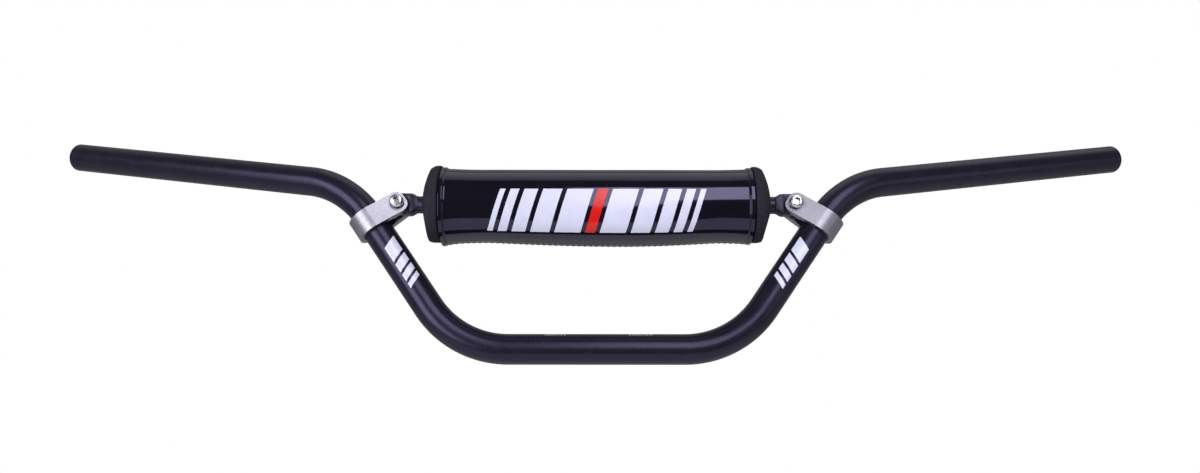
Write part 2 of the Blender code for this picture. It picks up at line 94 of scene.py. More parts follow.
# Crossbar clamps
BAND_WIDTH = 16.0 * MM
BAND_INNER = 11.45 * MM
BAND_OUTER = 14.85 * MM
CLAMP_BELOW_BEND = 3.3 * MM
BOLT_REACH = 24.1 * MM
EAR_TIP = 30.3 * MM
EAR_TIP_THICKNESS = 5.0 * MM
EAR_FRONT_RELIEF = 1.3 * MM
EAR_CORNER_RADIUS = 6.0 * MM
EAR_CORNER_STEPS = 18
HEAD_SEAT_THICKNESS = 4.3 * MM
HEAD_SEAT_RADIUS = 5.7 * MM
NUT_SEAT_RADIUS = 6.37 * MM
BAND_EDGE = 0.45 * MM
SEAT_GAP = 0.3 * MM
CUT_MARGIN = 2.0 * MM

# Screws and nuts, M6
SCREW_RADIUS = 3.0 * MM
SCREW_LENGTH = 25.0 * MM
SCREW_STEPS = 96
SCREW_POINT = 0.8 * MM
THREAD_PITCH = 1.0 * MM
THREAD_DEPTH = 0.5 * MM
THREAD_LENGTH = 17.0 * MM
THREAD_RUNOUT = 0.2 * MM
THREAD_CREST_DROP = 0.03 * MM
THREAD_FLANK = 1.15
THREAD_CREST = 0.08
ROWS_PER_PITCH = 8
HEAD_RADIUS = 5.0 * MM
HEAD_HEIGHT = 6.0 * MM
HEAD_CHAMFER = 1.1 * MM
HEAD_EDGE = 0.15 * MM
HEAD_FOOT = 0.2 * MM
HEAD_GROOVE = 0.16 * MM
HEAD_TEETH = 48
SOCKET_FLATS = 5.0 * MM
SOCKET_DEPTH = 3.2 * MM
NUT_FLATS = 10.0 * MM
NUT_HEIGHT = 6.0 * MM
NUT_COLLAR_RADIUS = 4.4 * MM
NUT_COLLAR_HEIGHT = 1.6 * MM
NUT_LIP = 0.3 * MM
INSERT_HEIGHT = 1.2 * MM
INSERT_RADIUS = 3.8 * MM
INSERT_EDGE = 0.2 * MM

# Crossbar and lugs
CROSSBAR_RADIUS = 6.5 * MM
CROSSBAR_WALL = 2.0 * MM
CROSSBAR_EDGE = 0.4 * MM
SPIGOT_LENGTH = 20.0 * MM
LUG_SHOULDER_TO_BOLT = 14.1 * MM
LUG_BODY_LENGTH = 5.9 * MM
LUG_FLARE_LENGTH = 5.2 * MM
LUG_FLARE_STEPS = 8
LUG_BODY_RADIUS = 8.6 * MM
LUG_BODY_THICKNESS = 11.2 * MM
TONGUE_THICKNESS = 8.0 * MM
TONGUE_EYE_RADIUS = 8.0 * MM
TONGUE_ROOT_WIDTH = 15.8 * MM
LUG_EDGE = 0.5 * MM
LUG_BEVEL = 0.35 * MM

# Pad core; the mouth's points are (out from the bore, in from the tip)
PAD_END_GAP = 4.4 * MM
CORE_RADIUS = 25.0 * MM
CORE_RIM_RADIUS = 28.5 * MM
CORE_RIM_WIDTH = 7.0 * MM
CORE_RIM_LIFT = {-1: 0.9 * MM, 1: 0.5 * MM}
CORE_RIM_ROUND = 1.2 * MM
CORE_CONE_LENGTH = 6.5 * MM
CORE_CONE_BULGE = 0.9 * MM
CORE_LOW_CONE_CUT = {-1: 1.9 * MM, 1: 0.3 * MM}
CORE_SHOULDER_LENGTH = 4.0 * MM
CORE_SHOULDER_DROP = 1.5 * MM
CORE_LOW_SHOULDER_DROP = 0.7 * MM
CORE_NOSE_RADIUS = 9.5 * MM
CORE_MOUTH = ((0.0, 1.0 * MM), (0.6 * MM, 0.2 * MM), (1.4 * MM, 0.0))
CORE_WAIST_CORNER = 0.4 * MM
CORE_SLIT = 1.2 * MM
CORE_STEPS = 180
CORE_CONE_STEPS = 12
CORE_SHOULDER_STEPS = 6
CORE_RIM_STEPS = 5
CORE_WAIST_STEPS = 20
CORE_BORE_STEPS = 10
WAIST_DRAW_IN = 0.1 * MM
FOAM_UNEVENNESS = 0.22 * MM
FOAM_UNEVEN_SCALE = 70.0

# Pad cover, with its flap and the strips that close it
COVER_THICKNESS = 1.2 * MM
COVER_END_GAP = 1.0 * MM
COVER_EDGE = 0.25 * MM
COVER_COLUMNS = 150
COVER_ROWS = 150
COVER_FRONT = math.radians(450.0)
HEM_WIDTH = 3.2 * MM
HEM_RISE = 0.9 * MM
HEM_EDGE = 1.3 * MM
HEM_COLUMNS = 10
HEM_COLUMNS_PAST = 2
FLAP_EDGE_ANGLE = math.radians(196.0)
FLAP_OVERLAP = math.radians(54.0)
FLAP_RISE_ANGLE = math.radians(47.0)
FLAP_HEM_ANGLE = math.radians(7.0)
FLAP_HEM_RISE = 0.5 * MM
FLAP_HEM_ROWS = 12
FLAP_HEM_ZONE = 1.3
FLAP_CORNER_LIFT = {-1: 1.3 * MM, 1: 0.3 * MM}
FLAP_CORNER_LENGTH = 16.0 * MM
END_FLARE = {-1: 1.0 * MM, 1: 0.6 * MM}
END_FLARE_LENGTH = 32.0 * MM
STRIP_THICKNESS = 1.2 * MM
STRIP_LENGTH = 150.0 * MM
STRIP_WIDTH = 14.0 * MM
STRIP_EDGE_MARGIN = math.radians(5.0)
STRIP_ROWS = 24
STRIP_COLUMNS = 200
STRIP_NAP = 0.1
ARCH_MIDDLE = 18.0 * MM
ARCH_REACH = {-1: 98.0 * MM, 1: 72.0 * MM}
ARCH_FULLNESS = 0.9
WAVE_ALONG = 16.0
WAVE_ROUND = 1.1
WAVE_TIGHT = 0.10 * MM
WAVE_LOOSE = 0.16 * MM
RIPPLE = 0.05 * MM
RIPPLE_SCALE = 3.1
INNER_WAVE_LIMIT = 0.1 * MM

# Stitching; a stitch's rise, sink and end are shares of its thread's radius, eased by the powers
STITCH_PITCH = 4.3 * MM
STITCH_LENGTH = 3.1 * MM
STITCH_RISE = 1.15
STITCH_SINK = 0.75
STITCH_END = 0.45
STITCH_BOW_POWER = 0.6
STITCH_GIRTH_POWER = 0.5
STITCH_SIDES = 8
STITCH_RINGS = 9
THREAD_RADIUS = 0.28 * MM
HEM_STITCH_SHARE = 0.6
STRIP_STITCH_MARGIN = 2.0 * MM
PUCKER_DEPTH = 0.16 * MM
PUCKER_REACH = 1.6 * MM
PUCKER_BETWEEN = 0.45

# Printed graphics: how far a film stands off, and the bars as widths or as (middle, width)
FILM_LIFT = 0.07 * MM
FILM_STEPS = 12
PAD_BAR_WIDTHS = (19.0 * MM, 14.0 * MM, 10.0 * MM, 6.5 * MM, 4.0 * MM)
PAD_BAR_FIRST = 7.0 * MM
PAD_BAR_MIDDLE = 7.5 * MM
PAD_BAR_GAP = 3.6 * MM
PAD_BAR_HEIGHT = 31.0 * MM
PAD_BAR_RISE = -10.0 * MM
PAD_BAR_SLANT = 0.32
LEG_BARS = (
    (21.5 * MM, 4.0 * MM),
    (28.5 * MM, 5.5 * MM),
    (37.0 * MM, 7.0 * MM),
    (49.0 * MM, 12.5 * MM),
)
LEG_BAR_TURN = {-1: 3.2 * MM, 1: 2.5 * MM}
LEG_BAR_HEIGHT = 11.0 * MM
LEG_BAR_SLANT = 0.5
MARK_TURN = math.radians(64.0)
MARK_WIDTH = 0.5 * MM
STEM_LINES = {"left": (-37.6 * MM, -24.0 * MM), "right": (25.5 * MM, 40.6 * MM)}
STEM_TICKS = {"left": -22.8 * MM, "right": 24.1 * MM}
TICK_HEIGHT = 3.0 * MM

# Shading, and the steps of turned and rounded forms
SMOOTH_ANGLE = math.radians(35.0)
FLAT_ANGLE = math.radians(9.0)
BEVEL_ANGLE = math.radians(40.0)
COVER_BEVEL_ANGLE = math.radians(60.0)
EDGE_STEPS = 4
EYE_STEPS = 64
ROUND_STEPS = 72
TURNED_STEPS = 96
WELD = 0.001 * MM

# Finishes. A noise is (scale, detail, roughness), and a bump is (texture, its values, depth, strength).
# The cloud mixes the two shades, the bloom spreads the roughness, and "set" is the same all over.
FINISHES = {
    # Satin black anodised aluminium, with a soft bloom and a very fine grain
    "satin_black_tube": {
        "cloud": (60.0, 5.0, 0.5),
        "shades": ((0.0068, 0.0060, 0.0118), (0.0104, 0.0092, 0.0166)),
        "bloom": (160.0, 6.0, 0.6),
        "roughness": (0.25, 0.31),
        "bumps": (("noise", (2600.0, 4.0, 0.6), 0.004 * MM, 0.4),),
        "set": {"Specular Tint": (0.60, 0.55, 1.0, 1.0)},
    },
    # Hard black coating on the crossbar and its lugs
    "black_metal": {
        "cloud": (110.0, 5.0, 0.5),
        "shades": ((0.0085, 0.0078, 0.0145), (0.0150, 0.0138, 0.0230)),
        "bloom": (420.0, 5.0, 0.5),
        "roughness": (0.26, 0.35),
        "bumps": (("noise", (1500.0, 4.0, 0.5), 0.02 * MM, 0.5),),
        "set": {"Specular Tint": (0.66, 0.62, 1.0, 1.0)},
    },
    # Bead-blasted, clear anodised aluminium
    "satin_aluminium": {
        "cloud": (90.0, 4.0, 0.5),
        "shades": ((0.326, 0.317, 0.386), (0.370, 0.361, 0.440)),
        "bloom": (700.0, 5.0, 0.5),
        "roughness": (0.38, 0.45),
        "bumps": (("noise", (2400.0, 3.0, 0.6), 0.03 * MM, 0.5),),
        "set": {"Metallic": 1.0},
    },
    # Bright zinc-plated steel
    "bright_steel": {
        "cloud": (300.0, 4.0, 0.5),
        "shades": ((0.56, 0.55, 0.61), (0.68, 0.67, 0.73)),
        "bloom": (900.0, 4.0, 0.5),
        "roughness": (0.20, 0.31),
        "bumps": (("noise", (1800.0, 3.0, 0.5), 0.01 * MM, 0.4),),
        "set": {"Metallic": 1.0},
    },
    "white_nylon": {
        "cloud": (400.0, 3.0, 0.5),
        "shades": ((0.66, 0.66, 0.63), (0.74, 0.74, 0.72)),
        "bloom": (800.0, 3.0, 0.5),
        "roughness": (0.42, 0.55),
    },
    # Closed-cell foam with a fine cut surface
    "black_foam": {
        "cloud": (900.0, 4.0, 0.5),
        "shades": ((0.0082, 0.0073, 0.0146), (0.0160, 0.0147, 0.0262)),
        "bloom": (500.0, 3.0, 0.5),
        "roughness": (0.72, 0.9),
        "bumps": (
            ("cells", (1300.0,), 0.16 * MM, 0.6),
            ("noise", (320.0, 5.0, 0.6), 0.12 * MM, 0.5),
        ),
        "set": {"Specular IOR Level": 0.3},
    },
    # Glossy coated vinyl with a faint grain
    "black_vinyl": {
        "cloud": (45.0, 3.0, 0.5),
        "shades": ((0.0036, 0.0031, 0.0062), (0.0054, 0.0047, 0.0088)),
        "bloom": (70.0, 5.0, 0.6),
        "roughness": (0.055, 0.1),
        "bumps": (("noise", (1700.0, 3.0, 0.5), 0.006 * MM, 0.5),),
        "set": {"IOR": 1.66, "Specular Tint": (0.63, 0.60, 1.0, 1.0)},
    },
    # Hook-and-loop tape, dull and fuzzy
    "black_hook_and_loop": {
        "cloud": (1500.0, 3.0, 0.5),
        "shades": ((0.010, 0.010, 0.012), (0.028, 0.028, 0.033)),
        "bloom": (700.0, 3.0, 0.5),
        "roughness": (0.8, 0.95),
        "bumps": (("cells", (2200.0,), 0.25 * MM, 0.8),),
    },
    # Twisted polyester thread
    "black_thread": {
        "cloud": (2500.0, 3.0, 0.5),
        "shades": ((0.010, 0.0095, 0.014), (0.026, 0.025, 0.033)),
        "bloom": (1600.0, 3.0, 0.5),
        "roughness": (0.45, 0.6),
    },
}

# Colours printed on film, faintly uneven
PRINT_SHADES = {
    "white_print": ((0.54, 0.545, 0.72), (0.58, 0.585, 0.76)),
    "red_print": ((0.53, 0.003, 0.002), (0.59, 0.006, 0.004)),
    "grey_print": ((0.55, 0.54, 0.62), (0.62, 0.61, 0.70)),
}
for print_name, print_shades in PRINT_SHADES.items():
    FINISHES[print_name] = {
        "cloud": (120.0, 4.0, 0.5),
        "shades": print_shades,
        "bloom": (200.0, 4.0, 0.5),
        "roughness": (0.16, 0.26),
    }

# Floor and backdrop: pale and matt round the object, white beyond
FLOOR_LEVEL = -1.0
FLOOR_FRONT = -1.15
FLOOR_REACH = 7.0
FLOOR_PALE_REACH = 1.1
FLOOR_WHITE_REACH = 2.6
FLOOR_COLOUR = (0.8, 0.8, 0.8, 1.0)
FLOOR_GLOW = 0.45
FLOOR_REFLECTED = 0.3

# World: its levels for diffuse rays and, from front to rear, for reflections
WHITE = (1.0, 1.0, 1.0, 1.0)
FILL_LEVEL = 0.5
FRONT_LEVEL = 0.05
REAR_LEVEL = 0.33
FRONT_END = -0.4
REAR_START = 0.1

# Soft boxes: place, size, the way each one faces, where None is to the object, and radiance
PANELS = {
    "key_light": ((1.19, -4.0, 2.27), (2.6, 3.65), REAR, 3.9),
    "side_light": ((-1.63, -2.01, -0.05), (1.36, 2.0), None, 5.0),
    "right_light": ((2.05, -1.6, -0.25), (1.4, 1.0), None, 0.8),
    "top_light": ((0.8, 0.12, 2.6), (3.5, 1.85), -UP, 0.48),
}

# Camera
CAMERA_PLACE = (0.0, -0.6556, -0.0632)
CAMERA_LEAN = math.radians(12.657)
CAMERA_YAW = math.radians(0.217)
CAMERA_ROLL = math.radians(0.082)
LENS = 27.0
SENSOR = 36.0


def mirrored(vector):
    return Vector((-vector.x, vector.y, vector.z))


def leg_direction(side):
    return Vector((side * math.cos(LEG_ANGLE), 0.0, math.sin(LEG_ANGLE)))


def ear_direction(side):
    """Square to the leg, inwards and up."""
    return Vector((-side * math.sin(LEG_ANGLE), 0.0, math.cos(LEG_ANGLE)))


def grip_direction():
    flat = math.cos(GRIP_RISE)
    return Vector((flat * math.cos(GRIP_SWEEP), flat * math.sin(GRIP_SWEEP), math.sin(GRIP_RISE)))


def leg_foot(side):
    """Where the lower bend ends and the leg runs straight."""
    x = STEM_LENGTH / 2 + LOWER_BEND_RADIUS * math.sin(LEG_ANGLE)
    return Vector((side * x, 0.0, LOWER_BEND_RADIUS * (1 - math.cos(LEG_ANGLE))))


def clamp_centre(side):
    return leg_foot(side) + leg_direction(side) * (LEG_LENGTH - CLAMP_BELOW_BEND)


def bolt_place(side):
    return clamp_centre(side) + ear_direction(side) * BOLT_REACH


knurl_pitch = 2 * math.pi * TUBE_RADIUS / KNURL_COUNT
bolt_x = bolt_place(1).x
crossbar_height = bolt_place(1).z
crossbar_half = bolt_x - LUG_SHOULDER_TO_BOLT
pad_half_length = crossbar_half - PAD_END_GAP
core_half_length = pad_half_length - CORE_CONE_LENGTH - CORE_RIM_WIDTH
cover_half_length = core_half_length - COVER_END_GAP
flap_start = FLAP_EDGE_ANGLE - FLAP_OVERLAP
flap_end = FLAP_EDGE_ANGLE + 2 * math.pi
tongue_half = TONGUE_THICKNESS / 2
ear_inner = tongue_half + SEAT_GAP
ear_tip_face = ear_inner + EAR_TIP_THICKNESS
seat_level = ear_inner + HEAD_SEAT_THICKNESS
screw_hole_radius = SCREW_RADIUS + SEAT_GAP


# Materials


class Nodes:
    """A node tree, with short calls for the nodes that the finishes, the floor and the world share."""

    def __init__(self, owner, empty=False):
        owner.use_nodes = True
        self.tree = owner.node_tree
        if empty:
            self.tree.nodes.clear()

    def feed(self, socket, value):
        """Links another node's output to a socket, or sets the socket to a constant."""
        if isinstance(value, bpy.types.NodeSocket):
            self.tree.links.new(value, socket)
        else:
            socket.default_value = value

    def add(self, kind, inputs=(), **settings):
        """A node of a kind, with its settings and with (socket, value) pairs for its inputs."""
        node = self.tree.nodes.new("ShaderNode" + kind)
        for setting, value in settings.items():
            setattr(node, setting, value)
        for socket, value in inputs:
            self.feed(node.inputs[socket], value)
        return node.outputs

    def place(self):
        return self.add("TexCoord")["Object"]

    def noise(self, scale, detail, rough):
        values = (("Vector", self.place()), ("Scale", scale), ("Detail", detail), ("Roughness", rough))
        return self.add("TexNoise", values)["Fac"]

    def cells(self, scale):
        return self.add("TexVoronoi", (("Vector", self.place()), ("Scale", scale)))["Distance"]

    def spread(self, value, low, high, first=0.3, last=0.7, kind="LINEAR"):
        """Maps a value from one range to another."""
        ranges = (("From Min", first), ("From Max", last), ("To Min", low), ("To Max", high))
        return self.add("MapRange", ranges + (("Value", value),), interpolation_type=kind)["Result"]

    def mixed(self, factor, first, second, kind="FLOAT"):
        """A number or a colour between two, chosen by a factor from 0 to 1."""
        values = (("Factor", factor), ("A", first), ("B", second))
        return self.add("Mix", values, data_type=kind)["Result"]

    def greatest(self, first, second):
        return self.add("Math", ((0, first), (1, second)), operation="MAXIMUM")["Value"]

    def bump(self, height, depth, strength, before):
        values = [("Height", height), ("Distance", depth), ("Strength", strength)]
        if before is not None:
            values.append(("Normal", before))
        return self.add("Bump", values)["Normal"]


def make_finish(name):
    """A row of the finishes as a material; what is the same all over is set on the shader's own sockets."""
    row = FINISHES[name]
    material = bpy.data.materials.new(name)
    nodes = Nodes(material)
    sockets = nodes.tree.nodes["Principled BSDF"].inputs
    dark, light = row["shades"]
    cloud = nodes.spread(nodes.noise(*row["cloud"]), 0.0, 1.0)
    nodes.feed(sockets["Base Color"], nodes.mixed(cloud, (*dark, 1.0), (*light, 1.0), "RGBA"))
    nodes.feed(sockets["Roughness"], nodes.spread(nodes.noise(*row["bloom"]), *row["roughness"]))
    normal = None
    for texture, values, depth, strength in row.get("bumps", ()):
        height = nodes.cells(*values) if texture == "cells" else nodes.noise(*values)
        normal = nodes.bump(height, depth, strength, normal)
    if normal is not None:
        nodes.feed(sockets["Normal"], normal)
    for socket, value in row.get("set", {}).items():
        nodes.feed(sockets[socket], value)
    return material


finishes = {name: make_finish(name) for name in FINISHES}


# Building blocks


def link(obj):
    bpy.context.scene.collection.objects.link(obj)
    return obj


def evaluated_mesh(obj):
    """The object's mesh with its modifiers applied."""
    bpy.context.view_layer.update()
    graph = bpy.context.evaluated_depsgraph_get()
    return bpy.data.meshes.new_from_object(obj.evaluated_get(graph))


def bmesh_object(name, bm):
    mesh = bpy.data.meshes.new(name)
    bm.to_mesh(mesh)
    bm.free()
    return link(bpy.data.objects.new(name, mesh))


def mesh_object(name, points, faces):
    """A closed form from its points and faces, which are turned to face outwards."""
    mesh = bpy.data.meshes.new(name)
    mesh.from_pydata([tuple(p) for p in points], [], faces)
    bm = bmesh.new()
    bm.from_mesh(mesh)
    bmesh.ops.recalc_face_normals(bm, faces=bm.faces)
    bm.to_mesh(mesh)
    bm.free()
    return link(bpy.data.objects.new(name, mesh))


def settle(obj, finish, replaced=(), slot=None, angle=SMOOTH_ANGLE):
    """Applies the piece's modifiers, shades and colours it, and makes it ride."""
    slot = slot or finish
    mesh = evaluated_mesh(obj)
    obj.modifiers.clear()
    obj.data = mesh
    mesh.shade_smooth()
    mesh.set_sharp_from_angle(angle=angle)
    mesh.materials.clear()
    mesh.materials.append(finishes[finish])
    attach(obj, BODY)
    if replaced:
        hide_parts(*replaced)


def plate(name, outline, thickness, matrix):
    """A flat outline in local XY, given thickness along local Z, its caps welded."""
    curve = bpy.data.curves.new(name, "CURVE")
    curve.dimensions = "2D"
    curve.fill_mode = "BOTH"
    curve.extrude = thickness / 2
    spline = curve.splines.new("POLY")
    spline.points.add(len(outline) - 1)
    for target, (x, y) in zip(spline.points, outline):
        target.co = (x, y, 0.0, 1.0)
    spline.use_cyclic_u = True
    guide = link(bpy.data.objects.new(name + "_guide", curve))
    guide.matrix_world = matrix
    bm = bmesh.new()
    bm.from_mesh(evaluated_mesh(guide))
    bpy.data.objects.remove(guide)
    bmesh.ops.remove_doubles(bm, verts=bm.verts, dist=WELD)
    bmesh.ops.recalc_face_normals(bm, faces=bm.faces)
    obj = bmesh_object(name, bm)
    obj.matrix_world = matrix
    return obj


def turned(name, profile, matrix, steps, closed=False):
    """Revolves (radius, height) points, listed down the outer side, about local Z."""
    mesh = bpy.data.meshes.new(name)
    edges = [(i, i + 1) for i in range(len(profile) - 1)]
    if closed:
        edges.append((len(profile) - 1, 0))
    mesh.from_pydata([(r, 0.0, z) for r, z in profile], edges, [])
    obj = link(bpy.data.objects.new(name, mesh))
    obj.matrix_world = matrix
    screw = obj.modifiers.new("turn", "SCREW")
    screw.axis = "Z"
    screw.steps = steps
    screw.render_steps = steps
    screw.use_merge_vertices = True
    screw.merge_threshold = WELD
    return obj


def prism(name, sides, radius, low, high, matrix):
    """A straight prism or cylinder from low to high along local Z."""
    bm = bmesh.new()
    bmesh.ops.create_cone(
        bm,
        cap_ends=True,
        segments=sides,
        radius1=radius,
        radius2=radius,
        depth=high - low,
        matrix=Matrix.Translation((0.0, 0.0, (low + high) / 2)),
    )
    obj = bmesh_object(name, bm)
    obj.matrix_world = matrix
    return obj


def box(name, low, high):
    bm = bmesh.new()
    size = Vector(high) - Vector(low)
    place = Matrix.Translation((Vector(high) + Vector(low)) / 2)
    bmesh.ops.create_cube(bm, size=1.0, matrix=place @ Matrix.Diagonal((*size, 1.0)))
    return bmesh_object(name, bm)


def combine(obj, other, operation):
    """Cuts, adds or intersects with another object, which is hidden and removed at the end."""
    other.hide_render = True
    boolean = obj.modifiers.new(other.name, "BOOLEAN")
    boolean.operation = operation
    boolean.object = other


def soften(obj, width, segments=3, angle=BEVEL_ANGLE):
    bevel = obj.modifiers.new("edges", "BEVEL")
    bevel.width = width
    bevel.segments = segments
    bevel.limit_method = "ANGLE"
    bevel.angle_limit = angle
    bevel.use_clamp_overlap = True


def frame_at(origin, x_axis, y_axis):
    z_axis = x_axis.cross(y_axis)
    turn = Matrix((x_axis, y_axis, z_axis)).transposed().to_4x4()
    return Matrix.Translation(origin) @ turn


def bolt_frame(side):
    """Local Z points out of the front ear, to -Y, from the bolt's middle."""
    return frame_at(bolt_place(side), ALONG, UP)


def outward_frame(side):
    """Local Z runs out along the crossbar's axis from the middle of the bar."""
    return frame_at(Vector((0.0, 0.0, crossbar_height)), REAR * side, UP)


def fillet(before, corner, after, radius, steps):
    """The arc that rounds a convex corner of an outline."""
    before, corner, after = Vector(before), Vector(corner), Vector(after)
    back = (before - corner).normalized()
    ahead = (after - corner).normalized()
    half = back.angle(ahead) / 2
    centre = corner + (back + ahead).normalized() * (radius / math.sin(half))
    start = corner + back * (radius / math.tan(half)) - centre
    end = corner + ahead * (radius / math.tan(half)) - centre
    turn = math.pi - 2 * half
    points = []
    for i in range(steps + 1):
        share = i / steps
        weights = math.sin(turn * (1 - share)), math.sin(turn * share)
        point = centre + (start * weights[0] + end * weights[1]) / math.sin(turn)
        points.append(tuple(point))
    return points


def arc(radius, first, last, steps):
    angles = [first + (last - first) * i / steps for i in range(steps + 1)]
    return [(radius * math.cos(a), radius * math.sin(a)) for a in angles]


def quarter_turns(steps=EDGE_STEPS):
    """(sine, cosine) pairs over a quarter turn."""
    turns = [math.pi / 2 * i / steps for i in range(steps + 1)]
    return [(math.sin(turn), math.cos(turn)) for turn in turns]


def rounded_edge(radius, height, edge):
    """The rounded outer edge of a turned profile, from its top round to its side."""
    return [(radius - edge * (1 - sine), height - edge * (1 - cosine)) for sine, cosine in quarter_turns()]


def smooth_step(value):
    value = min(max(value, 0.0), 1.0)
    return value * value * (3 - 2 * value)


def grid_faces(rows, width, offset=0, flip=False):
    """The quads of a grid of rows, each as long as the width."""
    faces = []
    for i in range(rows - 1):
        for j in range(width - 1):
            corner = offset + i * width + j
            quad = (corner, corner + 1, corner + width + 1, corner + width)
            faces.append(quad[::-1] if flip else quad)
    return faces


def shell(name, outer, inner):
    """A closed sheet between two grids of points of the same size."""
    rows, width = len(outer), len(outer[0])
    points = [p for row in outer for p in row] + [p for row in inner for p in row]
    below = rows * width
    faces = grid_faces(rows, width) + grid_faces(rows, width, below, True)
    border = list(range(width))
    border += [i * width + width - 1 for i in range(1, rows)]
    border += [(rows - 1) * width + j for j in range(width - 2, -1, -1)]
    border += [i * width for i in range(rows - 2, 0, -1)]
    for a, b in zip(border, border[1:] + border[:1]):
        faces.append((b, a, a + below, b + below))
    return mesh_object(name, points, faces)


def ring_join(first, first_count, second, second_count):
    """Faces between two rings of points, also where their counts differ."""
    faces = []
    if first_count == second_count:
        for i in range(first_count):
            j = (i + 1) % first_count
            faces.append((first + i, first + j, second + j, second + i))
        return faces
    i = j = 0
    while i < first_count or j < second_count:
        corners = (first + i % first_count, second + j % second_count)
        if (i + 1) * second_count <= (j + 1) * first_count:
            i += 1
            ahead = first + i % first_count
        else:
            j += 1
            ahead = second + j % second_count
        faces.append((corners[0], ahead, corners[1]))
    return faces


class Loft:
    """Closed forms made of rings of points, each ring joined to the one before."""

    def __init__(self):
        self.points = []
        self.faces = []
        self.rings = []

    def ring(self, points):
        self.rings.append((len(self.points), len(points)))
        self.points += points
        if len(self.rings) > 1:
            self.faces += ring_join(*self.rings[-2], *self.rings[-1])

    def close(self):
        """Joins the last ring to the first."""
        self.faces += ring_join(*self.rings[-1], *self.rings[0])

    def cap(self):
        """Closes the first and the last ring; the next ring then starts a new form."""
        for first, count in (self.rings[0], self.rings[-1]):
            self.faces.append(tuple(range(first, first + count)))
        self.rings = []


# Handlebar tube


def bend(point, heading, new_heading, radius):
    """Points of the arc that turns one heading into another, without its first point."""
    angle = heading.angle(new_heading)
    inward = (new_heading - heading * heading.dot(new_heading)).normalized()
    count = math.ceil(angle / BEND_STEP)
    points = []
    for i in range(1, count + 1):
        turn = angle * i / count
        points.append(point + radius * (heading * math.sin(turn) + inward * (1 - math.cos(turn))))
    return points


def run(point, heading, length, step=STRAIGHT_STEP):
    """Points of a straight run, without its first point."""
    count = math.ceil(length / step)
    return [point + heading * (length * i / count) for i in range(1, count + 1)]


def half_axis():
    """The right half of the tube's axis, from its middle to where the grip starts."""
    leg, grip = leg_direction(1), grip_direction()
    points = [Vector((0.0, 0.0, 0.0))]
    points += run(points[-1], ALONG, STEM_LENGTH / 2)
    points += bend(points[-1], ALONG, leg, LOWER_BEND_RADIUS)
    points += run(points[-1], leg, LEG_LENGTH)
    points += bend(points[-1], leg, grip, UPPER_BEND_RADIUS)
    return points


def axis_frames(points):
    """(point, across, over) at each point, carried along without twist."""
    frames = []
    across = -REAR
    for i, point in enumerate(points):
        before = points[max(i - 1, 0)]
        after = points[min(i + 1, len(points) - 1)]
        heading = (after - before).normalized()
        across = (across - heading * across.dot(heading)).normalized()
        frames.append((point, across, heading.cross(across)))
    return frames


def moved(place, shift):
    return (place[0] + shift, place[1], place[2])


def straight_places(place, heading, length, step=STRAIGHT_STEP):
    """Places along a straight run from a place, without the first."""
    return [(point, place[1], place[2]) for point in run(place[0], heading, length, step)]


def round_points(place, sides, radius):
    """A ring of points round a place on the axis; the radius may be a function of the angle."""
    point, across, over = place
    points = []
    for i in range(sides):
        angle = 2 * math.pi * i / sides
        reach = radius(angle) if callable(radius) else radius
        points.append(point + (across * math.cos(angle) + over * math.sin(angle)) * reach)
    return points


def knurl_radius(along):
    """The radius of a ring of the diamond knurl, as a function of the angle round it."""
    along_share = along * math.tan(KNURL_HELIX) / knurl_pitch

    def radius(angle):
        round_share = angle * KNURL_COUNT / (2 * math.pi)
        flanks = []
        for share in (round_share + along_share, round_share - along_share):
            flanks.append(2 * abs(share - math.floor(share) - 0.5))
        return TUBE_RADIUS - KNURL_DEPTH * max(flanks)

    return radius


def add_knurl(tube, start, heading):
    """The knurled length, with a tooth's samples round and along it, and plain rings at both ends."""
    step = knurl_pitch / math.tan(KNURL_HELIX) / SAMPLES_PER_TOOTH
    length = GRIP_LENGTH - KNURL_START - KNURL_END_MARGIN
    rows = int(length / step)
    for row in range(rows + 1):
        place = moved(start, heading * (KNURL_START + KNURL_LEAD + step * row))
        radius = TUBE_RADIUS if row in (0, rows) else knurl_radius(step * row)
        tube.ring(round_points(place, KNURL_COUNT * SAMPLES_PER_TOOTH, radius))


def add_end(tube, place, heading, outwards):
    """The tube's rounded end, from its outside to its bore, or from its bore to its outside."""
    rings = []
    for sine, cosine in quarter_turns():
        rings.append((TUBE_RADIUS - END_ROUND * (1 - cosine), END_ROUND * (sine - 1)))
    rings.append((BORE_RADIUS + END_ROUND / 2, 0.0))
    rings.append((BORE_RADIUS, -END_ROUND / 2))
    for radius, back in rings if outwards else rings[::-1]:
        sides = TUBE_SIDES if radius > BORE_RADIUS + END_ROUND else BORE_SIDES
        tube.ring(round_points(moved(place, heading * back), sides, radius))


def make_tube():
    """Rings over the outside from left to right, then through the bore back again."""
    half = half_axis()
    bends = axis_frames([mirrored(point) for point in reversed(half[1:])] + half)
    left, right = bends[0], bends[-1]
    right_grip = grip_direction()
    left_grip = mirrored(right_grip)
    tube = Loft()
    add_end(tube, moved(left, left_grip * GRIP_LENGTH), left_grip, False)
    outside = straight_places(left, left_grip, GRIP_LENGTH - 2 * END_ROUND)[::-1]
    outside += bends
    outside += straight_places(right, right_grip, KNURL_START)
    for place in outside:
        tube.ring(round_points(place, TUBE_SIDES, TUBE_RADIUS))
    add_knurl(tube, right, right_grip)
    add_end(tube, moved(right, right_grip * GRIP_LENGTH), right_grip, True)
    length = GRIP_LENGTH - END_ROUND
    bore = straight_places(right, right_grip, length, BORE_STEP)[-2::-1]
    bore += bends[::-1]
    bore += straight_places(left, left_grip, length, BORE_STEP)[:-1]
    for place in bore:
        tube.ring(round_points(place, BORE_SIDES, BORE_RADIUS))
    tube.close()
    obj = mesh_object("bar_tube", tube.points, tube.faces)
    settle(obj, "satin_black_tube", ["handlebar_tube"])


